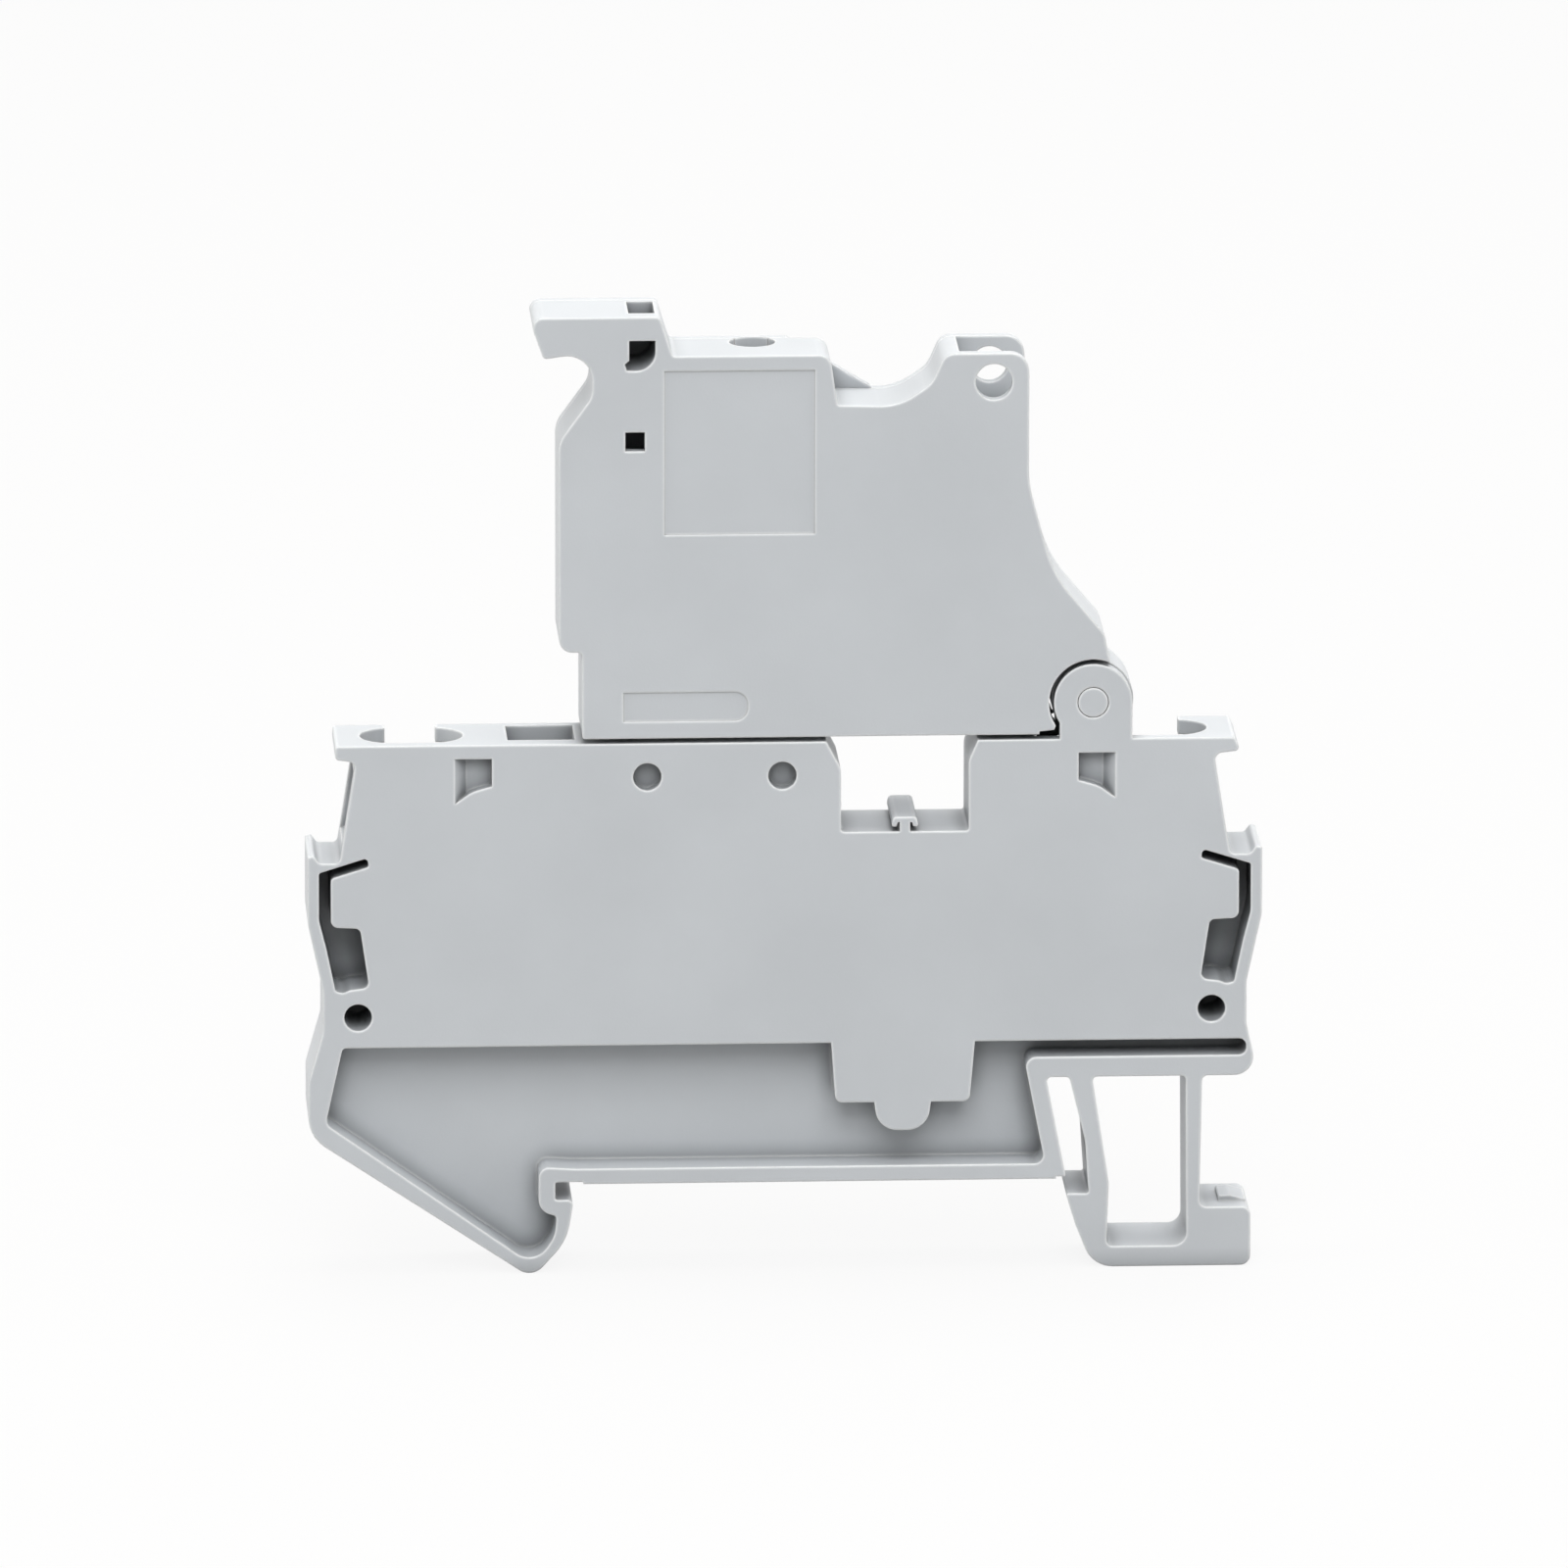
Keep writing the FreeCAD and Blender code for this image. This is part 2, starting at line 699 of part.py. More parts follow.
def cut_side_openings(body, side, word):
    """Screwdriver opening, wire funnel, flexing slot, rivet hole and pegging window of one end."""
    half = S.driver_length / 2
    near = side_x(side, S.driver_offset) - half
    far = side_x(side, S.driver_offset) + half
    width = S.driver_width / 2
    round_end = width - 0.05
    oval = [
        (near, -width, round_end),
        (far, -width, round_end),
        (far, width, round_end),
        (near, width, round_end),
    ]
    cut_outline(body, f"{word}_driver_opening", oval, CAVITY_TOP - 0.5, S.block_top, plane="XY")
    slot_half = S.driver_slot / 2
    middle = side_x(side, S.driver_offset)
    slot = box_corners(middle - slot_half, middle + slot_half, 0.0, BACK)
    cut_outline(body, f"{word}_driver_slot", slot, CAVITY_TOP - 0.5, S.block_top, plane="XY")
    outer = S.block_half - S.flank_inset
    funnel = [
        (side_x(side, outer - 2.5), S.funnel_low + 1.0),
        (side_x(side, outer + 2.2), S.funnel_low - 0.3),
        (side_x(side, outer + 2.2), S.funnel_high + 0.4),
        (side_x(side, outer - 2.5), S.funnel_high - 0.6),
    ]
    cut_outline(body, f"{word}_wire_funnel", funnel, CAVITY_FACE - 0.45, S.driver_width / 2)
    cut_outline(body, f"{word}_flexing_slot", flexing_slot(side), FRONT, FRONT + S.slot_depth)
    rivet_x = side_x(side, S.block_half - S.rivet_inset)
    hole = (rivet_x, S.rivet_height, S.rivet_hole)
    cut_circle(body, f"{word}_rivet_hole", hole, FRONT, FRONT + S.rivet_depth)
    inner = S.window_inner
    tip = inner + S.window_length
    window = [
        (side_x(side, inner), S.window_top),
        (side_x(side, inner), S.window_top - 1.9),
        (side_x(side, inner + 1.4), S.window_top - 2.3, 2.5),
        (side_x(side, tip), S.window_top - 3.1),
        (side_x(side, tip), S.window_top),
    ]
    cut_outline(body, f"{word}_window", window, FRONT, FRONT + S.window_depth)
    ramp = [
        (side_x(side, tip), FRONT),
        (side_x(side, tip), FRONT + S.window_depth + 0.1),
        (side_x(side, tip - S.window_ramp), FRONT + S.window_depth + 0.1),
        (side_x(side, tip - S.window_ramp), FRONT + S.window_depth),
    ]
    add_outline(body, f"{word}_window_ramp", ramp, S.window_top - 3.3, S.window_top + 0.1, plane="XY")


def add_hinge_lugs(body):
    """Two ears on the block's top that carry the lever's trunnions."""
    low = S.block_top - 0.6
    right = S.pivot_x + S.lug_radius
    for name, front, back in (
        ("front_lug", FRONT, FRONT + S.lug_thick),
        ("back_lug", BACK - S.lug_thick, BACK),
    ):
        stem = [
            (S.pivot_x - S.lug_radius + 0.4, low),
            (right, low),
            (right, S.pivot_z),
            (S.pivot_x, S.pivot_z),
            (S.pivot_x - S.lug_radius + 0.4, S.pivot_z - 1.2),
        ]
        add_outline(body, f"{name}_stem", stem, front, back)
        add_circle(body, name, (S.pivot_x, S.pivot_z, S.lug_radius), front, back)
        bore = (S.pivot_x, S.pivot_z, S.trunnion_radius + S.hinge_play)
        cut_circle(body, f"{name}_bore", bore, front, back)


def cut_hub_relief(body):
    left = S.riser_x - 0.5
    right = S.pivot_x + S.lug_radius + 0.2
    top = S.block_top + 0.02
    hub_seat = box_corners(left, right, FRONT + S.lug_thick, BACK - S.lug_thick)
    cut_outline(body, "hub_relief", hub_seat, S.block_top - 0.5, top, plane="XY")
    riser_way = box_corners(left, right, CAVITY_FACE, BACK - S.lug_thick)
    cut_outline(body, "riser_way", riser_way, CAVITY_TOP - 0.5, top, plane="XY")


def add_marker_peg(body):
    middle = (S.notch_left + S.notch_right) / 2
    stem = box_corners(middle - 0.35, middle + 0.35, S.notch_floor - 0.3, S.notch_floor + S.peg_height - 0.3)
    add_outline(body, "peg_stem", stem, FRONT, BACK)
    top = S.notch_floor + S.peg_height
    half = S.peg_width / 2
    cap = [
        (middle - half, top - 0.65, 0.12),
        (middle - half + 0.1, top, 0.3),
        (middle + half - 0.1, top, 0.3),
        (middle + half, top - 0.65, 0.12),
        (middle + half - 0.35, top - 0.65, 0.1),
        (middle + half - 0.4, top - 0.35, 0.1),
        (middle - half + 0.4, top - 0.35, 0.1),
        (middle - half + 0.35, top - 0.65, 0.1),
    ]
    add_outline(body, "peg_cap", cap, FRONT, BACK)


def clamp_point(side, along, across):
    """A point in the clamp's own frame: along the wire into the block, across it towards the loop."""
    run, rise = cosine(S.clamp_angle), sine(S.clamp_angle)
    inward = size(along) * run + size(across) * rise
    return (
        side_x(side, S.clamp_x - inward),
        S.clamp_z - size(along) * rise + size(across) * run,
    )


def make_cage_spring(side, word):
    """A looped steel strip whose leg has the window that pulls the wire against the busbar."""
    body = new_body(f"{word}_cage_spring")
    half = S.spring_thick / 2
    low = S.clamp_bore + S.busbar_thick + S.metal_play / 2 + half
    high = low + S.loop_height
    loops = [
        (-half, -S.leg_tip, None),
        (-half, high + half, 0.9 + half),
        (S.loop_reach + half, high + half, S.loop_round + half),
        (S.loop_reach + half, low - half, S.loop_round + half),
        (1.2, low - half, None),
        (1.2, low + half, None),
        (S.loop_reach - half, low + half, S.loop_round - half),
        (S.loop_reach - half, high - half, S.loop_round - half),
        (half, high - half, 0.9 - half),
        (half, -S.leg_tip, None),
    ]
    corners = [
        clamp_point(side, along, across) + ((radius,) if radius is not None else ())
        for along, across, radius in loops
    ]
    front = S.metal_centre - S.spring_width / 2
    add_outline(body, f"{word}_spring_loop", corners, front, front + S.spring_width)
    window_low = -S.leg_tip + 0.5
    window_high = S.clamp_bore + S.busbar_thick + 0.4
    window = [
        clamp_point(side, -0.6, window_low),
        clamp_point(side, 0.6, window_low),
        clamp_point(side, 0.6, window_high),
        clamp_point(side, -0.6, window_high),
    ]
    window_front = S.metal_centre - S.spring_window / 2
    cut_outline(body, f"{word}_spring_window", window, window_front, window_front + S.spring_window)
    return body


def strip_body(label, path, thick, width, round_inner):
    """A bent strip of constant thickness along a path of straight runs."""
    body = new_body(label)
    add_strip(body, f"{label}_strip", path, thick, width, round_inner)
    return body


def add_strip(body, name, path, thick, width, round_inner):
    outline = strip_outline(path, thick, round_inner)
    front = S.metal_centre - width / 2
    add_outline(body, name, outline, front, front + width)


def strip_outline(path, thick, round_inner):
    """Both sides of a bent strip, each corner moved along its mitre by half the thickness."""
    path = [(size(x), size(z)) for x, z in path]
    points = [FreeCAD.Vector(x.value, z.value, 0) for x, z in path]
    left, right = [], []
    for i, (x, z) in enumerate(path):
        runs = []
        if i > 0:
            runs.append((points[i] - points[i - 1]).normalize())
        if i < len(points) - 1:
            runs.append((points[i + 1] - points[i]).normalize())
        normals = [FreeCAD.Vector(-run.y, run.x, 0) for run in runs]
        mitre = normals[0]
        turn = 0.0
        if len(normals) == 2:
            mitre = (normals[0] + normals[1]) / (1 + normals[0].dot(normals[1]))
            turn = runs[0].cross(runs[1]).z
        for group, sign in ((left, 1), (right, -1)):
            corner = (x + thick / 2 * (sign * mitre.x), z + thick / 2 * (sign * mitre.y))
            if len(normals) == 2:
                inside = sign * turn > 0
                corner += (size(round_inner) if inside else round_inner + thick,)
            group.append(corner)
    return left + list(reversed(right))


def make_busbar(side, word, inner_end):
    """Copper bar from the clamp, down inside the chamber and along the cavity's floor."""
    across = S.clamp_bore + S.busbar_thick / 2
    riser = side_x(side, S.riser_inset)
    tip = clamp_point(side, -1.0, across)
    knee_along = (S.clamp_x - S.riser_inset - across * sine(S.clamp_angle)) / cosine(S.clamp_angle)
    knee = clamp_point(side, knee_along, across)
    path = [tip, knee, (riser, BUSBAR_Z), (inner_end, BUSBAR_Z)]
    return strip_body(f"{word}_busbar", path, S.busbar_thick, S.busbar_width, 0.4)


def blade_point(radius, angle):
    return (S.pivot_x + radius * cosine(angle), S.pivot_z + radius * sine(angle))


def make_fork_contact():
    """Two arms about the hinge's centre that grip the lever's blade, on a stem from the busbar."""
    body = new_body("fork_contact")
    front = S.metal_centre - S.busbar_width / 2
    back = front + S.busbar_width
    mouth, root = S.fork_mouth_angle, S.fork_root_angle
    outer = S.blade_radius + S.blade_thick / 2 + S.fork_play
    inner = S.blade_radius - S.blade_thick / 2 - S.fork_play
    add_band(body, "outer_arm", (outer, outer + S.fork_arm, mouth, root), front, back)
    add_band(body, "inner_arm", (inner - S.fork_arm, inner, mouth, root), front, back)
    yoke = (inner - S.fork_arm, outer + S.fork_arm, root - 1.2, root)
    add_band(body, "yoke", yoke, front, back)
    centre_x, centre_z = blade_point(S.blade_radius, root)
    foot_z = BUSBAR_Z + S.busbar_thick / 2 + S.metal_play / 5
    stem = [
        (centre_x - 0.5, centre_z + 0.4),
        (centre_x - 0.5, foot_z + 0.8, 0.4),
        (centre_x - 2.2, foot_z + 0.8),
        (centre_x - 2.2, foot_z),
        (centre_x + 0.5, foot_z),
        (centre_x + 0.5, centre_z + 0.4),
    ]
    add_outline(body, "fork_stem", stem, front + 0.4, back - 0.4)
    return body


def make_fork_spring():
    """Steel clip that presses the fork's arms together, with a slot for the fork's stem."""
    body = new_body("fork_spring")
    front = S.metal_centre - S.busbar_width / 2 - 0.2
    back = front + S.busbar_width + 0.4
    top, root = S.leaf_angle, S.fork_root_angle
    play = 0.03
    outer = S.blade_radius + S.blade_thick / 2 + S.fork_play + S.fork_arm + play
    inner = S.blade_radius - S.blade_thick / 2 - S.fork_play - S.fork_arm - play
    add_band(body, "outer_leaf", (outer, outer + S.contact_thick, top, root + 0.8), front, back)
    add_band(body, "inner_leaf", (inner - S.contact_thick, inner, top, root + 0.8), front, back)
    bridge = (inner - S.contact_thick, outer + S.contact_thick, root + 0.15, root + 0.8)
    add_band(body, "leaf_bridge", bridge, front, back)
    centre_x, centre_z = blade_point(S.blade_radius, root)
    slot = box_corners(centre_x - 0.75, centre_x + 0.75, centre_z - 1.2, centre_z + 0.3)
    slot_front = S.metal_centre - S.busbar_width / 2 + 0.3
    cut_outline(body, "stem_slot", slot, slot_front, slot_front + S.busbar_width - 0.6)
    return body


def make_hinge_contact():
    """Strip that rises from the right busbar to a cradle under the lever's round contact."""
    body = new_body("hinge_contact")
    front = S.metal_centre - S.clip_width / 2
    radius = S.hub_radius + S.hinge_play
    cradle = (radius, radius + S.contact_thick, S.cradle_start, S.cradle_end)
    add_band(body, "cradle", cradle, front, front + S.clip_width)
    foot_z = BUSBAR_Z + S.busbar_thick / 2 + S.contact_thick / 2 + S.metal_play / 5
    end_x, end_z = blade_point(radius + S.contact_thick / 2, S.cradle_start + 1.5)
    path = [
        (S.riser_x - 2.6, foot_z),
        (S.riser_x, foot_z),
        (S.riser_x, end_z - 1.1),
        (end_x, end_z),
    ]
    add_strip(body, "riser", path, S.contact_thick, S.clip_width, 0.3)
    return body


def lever_outline():
    """Side view of the lever without its hub, from the lower left corner going up."""
    return [
        (S.lever_foot, LEVER_BOTTOM, 0.2),
        (S.pivot_x - 3.0, LEVER_BOTTOM, 0.2),
        (S.pivot_x, S.pivot_z - 0.8),
        (S.pivot_x + 1.2, S.pivot_z + 2.3),
        (S.pivot_x + 0.75, S.pivot_z + 4.7, 1.2),
        (S.pivot_x - 2.7, S.pivot_z + 8.8, 8.0),
        (S.lever_right, S.pivot_z + 15.1, 7.0),
        (S.lever_right, S.lever_top, 1.3),
        (S.ear_left, S.lever_top, 1.0),
        (S.ear_left - 0.9, S.dish_floor + 1.4, 2.0),
        (S.ear_left - 3.1, S.dish_floor - 0.1, 4.0),
        (S.dish_left + 0.35, S.dish_floor, 0.2),
        (S.dish_left - 0.15, S.lever_top, 0.9),
        (S.handle_right + 0.85, S.lever_top, 0.3),
        (S.handle_right, S.handle_top, 0.4),
        (S.handle_tip, S.handle_top, 0.7),
        (S.handle_tip + 1.0, S.lever_top - 0.1, 0.3),
        (S.lever_left + 2.25, S.lever_top + 0.35, 1.7),
        (S.lever_left + 2.25, S.lever_top - 2.7, 1.6),
        (S.lever_left, S.lever_top - 5.8, 2.0),
        (S.lever_left, S.lever_step, 0.9),
        (S.lever_foot, S.lever_step, 0.3),
    ]


def cut_hinge_clearance(body, name, low, high, wedge_extra=0.0):
    """Room for one lug of the base: a round cut about the pivot and a wedge at its lower left."""
    clear = S.lug_radius + S.lug_gap
    cut_circle(body, f"{name}_round", (S.pivot_x, S.pivot_z, clear), low, high)
    wedge = [
        (S.pivot_x - 3.6, LEVER_BOTTOM - 0.2),
        (S.pivot_x + 0.5, LEVER_BOTTOM - 0.2),
        (S.pivot_x + 0.5, S.pivot_z - 1.0),
        (S.pivot_x - 2.3, S.pivot_z - 1.0),
        (S.pivot_x - 2.6, LEVER_BOTTOM + 0.3),
        (S.pivot_x - 3.6, LEVER_BOTTOM + 0.2),
    ]
    cut_outline(body, f"{name}_wedge", wedge, low, high + wedge_extra)


def make_lever_housing():
    body = new_body("lever_housing")
    add_outline(body, "lever_outline", lever_outline(), FRONT, COVER_FACE)
    hub_front = FRONT + S.lug_thick + S.hub_play
    hub_back = BACK - S.lug_thick - S.hub_play
    rim = S.lever_rim
    bay_floor = S.dish_floor - S.bay_drop
    floor = LEVER_BOTTOM + 2.3
    cavity = [
        (S.lever_foot + rim, LEVER_BOTTOM - 1.0),
        (S.lever_foot + rim, S.lever_step + 0.5),
        (S.lever_left + rim, S.lever_step + 1.1),
        (S.lever_left + rim, S.lever_top - 6.4),
        (S.lever_left + 2.25 + rim, S.lever_top - 3.5),
        (S.lever_left + 2.25 + rim, S.lever_top - 2.2),
        (S.dish_left - rim, S.lever_top - rim),
        (S.dish_left - rim, S.dish_floor - rim),
        (S.ear_left, S.dish_floor - rim),
        (S.ear_left, bay_floor - rim),
        (S.lever_right - rim, bay_floor - rim),
        (S.lever_right - rim, S.pivot_z + 14.8, 4.0),
        (S.pivot_x - 3.7, S.pivot_z + 8.5, 3.0),
        (S.pivot_x - 1.2, S.pivot_z + 5.4),
        (S.pivot_x - 3.0, S.pivot_z + 3.0),
        (S.pivot_x - 3.0, floor),
        (S.fuse_centre + S.fuse_length / 2 + 1.6, floor),
        (S.fuse_centre + S.fuse_length / 2 + 1.6, LEVER_BOTTOM - 1.0),
    ]
    cut_outline(body, "lever_cavity", cavity, FRONT + S.lever_wall, COVER_FACE)
    add_fuse_supports(body)
    cut_hinge_clearance(body, "front_lug_room", FRONT, hub_front, S.gap_depth)
    cut_hinge_clearance(body, "back_lug_room", hub_back, BACK)
    gap = (S.hub_radius - 0.1, S.lug_radius + S.lug_gap, S.gap_start, S.gap_end)
    cut_band(body, "front_gap", gap, hub_front, hub_front + S.gap_depth)
    cut_band(body, "back_gap", gap, hub_back - S.gap_depth, hub_back)
    add_circle(body, "hub", (S.pivot_x, S.pivot_z, S.hub_radius), hub_front, hub_back)
    add_circle(body, "front_trunnion", (S.pivot_x, S.pivot_z, S.trunnion_radius), FRONT, hub_front)
    add_circle(body, "back_trunnion", (S.pivot_x, S.pivot_z, S.trunnion_radius), hub_back, BACK)
    groove_front = S.metal_centre - S.clip_width / 2 - S.metal_play
    groove_floor = S.hub_radius - S.clip_thick - S.metal_play
    groove = (groove_floor, S.hub_radius + 0.45, S.ring_start - 4, S.ring_end + 5)
    cut_band(body, "contact_groove", groove, groove_front, groove_front + S.clip_width + 2 * S.metal_play)
    cut_lever_openings(body)
    return body


def add_fuse_supports(body):
    """Ribs that carry the fuse contacts and the rib over the fuse, and the thinned wall beside it."""
    left_end = S.fuse_centre - S.fuse_length / 2
    right_end = S.fuse_centre + S.fuse_length / 2
    back_of_clip = S.fuse_play + S.clip_thick + S.metal_play
    wall = FRONT + S.lever_wall - 0.1
    lower = S.fuse_height - 1.6
    upper = S.fuse_height + 1.6
    left_rib = box_corners(S.lever_left + 0.5, left_end - back_of_clip, lower, upper)
    add_outline(body, "left_clip_rib", left_rib, wall, COVER_FACE)
    right_rib = box_corners(right_end + back_of_clip, S.pivot_x - 3.0, lower, upper)
    add_outline(body, "right_clip_rib", right_rib, wall, COVER_FACE)
    top = S.fuse_height + S.cap_radius + 0.2
    over_rib = box_corners(left_end + 1.0, right_end - 1.0, top, top + 0.8)
    add_outline(body, "fuse_stop_rib", over_rib, wall, COVER_FACE)
    bay = box_corners(
        left_end - 0.1, right_end + 0.1, LEVER_BOTTOM - 1.0, S.fuse_height + S.cap_radius + 0.1
    )
    cut_outline(body, "fuse_bay", bay, -S.cap_radius - S.fuse_play, COVER_FACE)


def cut_lever_openings(body):
    hole = (S.link_hole_x, S.link_hole_z, S.link_hole)
    cut_circle(body, "link_hole", hole, FRONT, COVER_FACE)
    bay = [
        (S.ear_left + 1.2, S.dish_floor - S.bay_drop, 0.8),
        (S.lever_right + 1.0, S.dish_floor - S.bay_drop),
        (S.lever_right + 1.0, S.lever_top + 1.0),
        (S.ear_left + 0.9, S.lever_top + 1.0),
    ]
    cut_outline(body, "ear_bay", bay, FRONT + S.ear_wall, COVER_FACE)
    test = (S.test_hole_x, S.test_hole_y, S.test_hole)
    cut_circle(body, "test_hole", test, S.lever_top - S.lever_rim - 0.4, S.lever_top, plane="XY")
    label = box_corners(S.label_left, S.label_right, S.label_bottom, S.label_top)
    cut_outline(body, "label_recess", label, FRONT, FRONT + S.label_depth)
    mark_low = LEVER_BOTTOM + S.mark_rise
    mark = [
        (S.lever_foot + S.mark_left, mark_low),
        (S.lever_foot + S.mark_right, mark_low, 0.9),
        (S.lever_foot + S.mark_right, mark_low + S.mark_height, 0.9),
        (S.lever_foot + S.mark_left, mark_low + S.mark_height),
    ]
    cut_outline(body, "mark_recess", mark, FRONT, FRONT + S.label_depth)
    right = S.keyhole_left + S.keyhole_width
    keyhole = [
        (S.keyhole_left, S.keyhole_floor + 2.1),
        (S.keyhole_left, S.keyhole_floor + 0.75),
        (S.keyhole_left - 0.3, S.keyhole_floor + 0.5),
        (S.keyhole_left - 0.15, S.keyhole_floor + 0.05),
        (right, S.keyhole_floor, 1.3),
        (right, S.keyhole_floor + 2.1),
    ]
    cut_outline(body, "keyhole_window", keyhole, FRONT, S.keyhole_half)
    shaft = box_corners(S.keyhole_left, right, -S.keyhole_half, S.keyhole_half)
    cut_outline(body, "keyhole_shaft", shaft, S.handle_top - S.slot_drop, S.handle_top, plane="XY")
    latch_right = S.latch_left + S.latch_size
    latch = box_corners(S.latch_left, latch_right, S.latch_bottom, S.latch_bottom + S.latch_size)
    cut_outline(body, "latch_window", latch, FRONT, FRONT + S.lever_wall + 0.1)


def make_lever_cover():
    body = new_body("lever_cover")
    cover_front = COVER_FACE + 0.02
    add_outline(body, "cover_outline", lever_outline(), cover_front, BACK)
    fin_left = S.dish_left - S.fin_left
    fin_right = S.dish_left + S.fin_right
    fin = [
        (fin_left, S.dish_floor - 1.0),
        (fin_right, S.dish_floor - 1.0),
        (fin_right, S.dish_floor + 0.05),
        (fin_left, S.lever_top - 0.02),
    ]
    add_outline(body, "cover_fin", fin, cover_front, BACK)
    above = [
        (fin_left, S.lever_top - 0.02),
        (fin_right, S.dish_floor + 0.05),
        (fin_right, S.lever_top + 0.1),
        (fin_left, S.lever_top + 0.1),
    ]
    cut_outline(body, "cover_slope", above, cover_front, BACK)
    cut_hinge_clearance(body, "cover_lug_room", cover_front, BACK)
    cut_circle(body, "cover_link_hole", (S.link_hole_x, S.link_hole_z, S.link_hole), cover_front, BACK)
    test = (S.test_hole_x, S.test_hole_y, S.test_hole)
    cut_circle(body, "cover_test_hole", test, S.lever_top - S.lever_rim - 0.4, S.lever_top, plane="XY")
    left_end = S.fuse_centre - S.fuse_length / 2
    right_end = S.fuse_centre + S.fuse_length / 2
    bay = box_corners(
        left_end - 0.1, right_end + 0.1, LEVER_BOTTOM - 1.0, S.fuse_height + S.cap_radius + 0.1
    )
    cut_outline(body, "cover_fuse_bay", bay, cover_front, S.cap_radius + S.fuse_play)
    return body


def make_left_fuse_clip():
    """End contact of the fuse with the curved blade that swings into the fork."""
    body = new_body("left_fuse_clip")
    front = S.metal_centre - S.busbar_width / 2
    blade = (
        S.blade_radius - S.blade_thick / 2,
        S.blade_radius + S.blade_thick / 2,
        S.blade_start,
        180.0 + S.blade_sweep,
    )
    add_band(body, "blade", blade, front, front + S.busbar_width)
    contact_x = S.fuse_centre - S.fuse_length / 2 - S.fuse_play - S.clip_thick / 2
    blade_x = S.pivot_x - S.blade_radius
    path = [
        (contact_x - 0.7, S.fuse_height + 3.6),
        (contact_x, S.fuse_height + 2.2),
        (contact_x, S.fuse_height - 2.6),
        (blade_x, S.pivot_z + 3.0),
        (blade_x, S.pivot_z + 0.3),
    ]
    add_strip(body, "left_leaf", path, S.clip_thick, S.busbar_width, 0.3)
    return body


def make_right_fuse_clip():
    """End contact of the fuse with a strip to the round contact in the lever's hub."""
    body = new_body("right_fuse_clip")
    front = S.metal_centre - S.clip_width / 2
    ring = (S.hub_radius - S.clip_thick, S.hub_radius, S.ring_start, S.ring_end)
    add_band(body, "round_contact", ring, front, front + S.clip_width)
    contact_x = S.fuse_centre + S.fuse_length / 2 + S.fuse_play + S.clip_thick / 2
    joint_x, joint_z = blade_point(S.hub_radius - S.clip_thick / 2, S.ring_start + 1)
    path = [
        (contact_x + 0.7, S.fuse_height + 3.6),
        (contact_x, S.fuse_height + 2.2),
        (contact_x, joint_z),
        (joint_x, joint_z),
    ]
    add_strip(body, "right_leaf", path, S.clip_thick, S.clip_width, 0.3)
    return body


def turned(label, profile):
    """A solid turned about the fuse's axis from a closed profile of X and radius."""
    body = new_body(label)
    sketch = new_sketch(body, f"{label}_profile", "XZ", 0.0, lift=S.fuse_height)
    draw_outline(sketch, profile)
    feature = body.newObject("PartDesign::Revolution", f"{label}_turned")
    feature.Profile = sketch
    feature.ReferenceAxis = (sketch, ["H_Axis"])
    feature.Angle = 360.0
    body.Tip = feature
    return body


def make_fuse():
    bore = S.cap_radius - S.cap_wall
    glass = bore - S.fuse_fit
    inside = S.fuse_length / 2 - S.cap_wall - S.fuse_fit
    centre = S.fuse_centre
    tube = [
        (centre - inside, S.tube_bore),
        (centre + inside, S.tube_bore),
        (centre + inside, glass),
        (centre - inside, glass),
    ]
    bodies = [turned("fuse_tube", tube)]
    for side, word in ((-1, "left"), (1, "right")):
        end = centre + side * (S.fuse_length / 2)
        rim = end - side * S.cap_length
        bottom = end - side * S.cap_wall
        cap = [
            (end, 0.0),
            (end, S.cap_radius),
            (rim, S.cap_radius),
            (rim, bore),
            (bottom, bore),
            (bottom, 0.0),
        ]
        bodies.append(turned(f"fuse_cap_{word}", cap))
        blob_end = bottom - side * S.solder_thick
        fill = S.tube_bore - S.fuse_fit
        blob = [(bottom, 0.0), (bottom, fill), (blob_end, fill), (blob_end, 0.0)]
        bodies.append(turned(f"fuse_solder_{word}", blob))
    reach = S.fuse_length / 2 - S.cap_wall - S.solder_thick
    wire = [
        (centre - reach, 0.0),
        (centre - reach, S.wire_radius),
        (centre + reach, S.wire_radius),
        (centre + reach, 0.0),
    ]
    bodies.append(turned("fuse_wire", wire))
    return bodies


def export(bodies):
    for item in doc.Objects:
        if "Invalid" in item.State or "Error" in item.State:
            raise RuntimeError(f"{item.Name} failed: {item.State}")
    for body in bodies:
        shape = body.Shape
        if shape.isNull() or not shape.isValid() or len(shape.Solids) != 1:
            raise RuntimeError(f"{body.Label} is not one valid solid: {len(shape.Solids)}")
    os.makedirs("parts", exist_ok=True)
    for body in bodies:
        body.Shape.exportStep(f"parts/{body.Label}.step")
        print(body.Label, round(body.Shape.Volume, 3), len(body.Shape.Faces))


def main():
    fill_sheet()
    bodies = [make_base_housing(), make_lever_housing(), make_lever_cover()]
    fork_x = blade_point(S.blade_radius, S.fork_root_angle)[0]
    bodies.append(make_busbar(-1, "left", fork_x + 1.0))
    bodies.append(make_busbar(1, "right", S.riser_x - 3.0))
    bodies.append(make_cage_spring(-1, "left"))
    bodies.append(make_cage_spring(1, "right"))
    bodies += [make_fork_contact(), make_fork_spring(), make_hinge_contact()]
    bodies += [make_left_fuse_clip(), make_right_fuse_clip()]
    bodies += make_fuse()
    doc.recompute()
    export(bodies)


main()
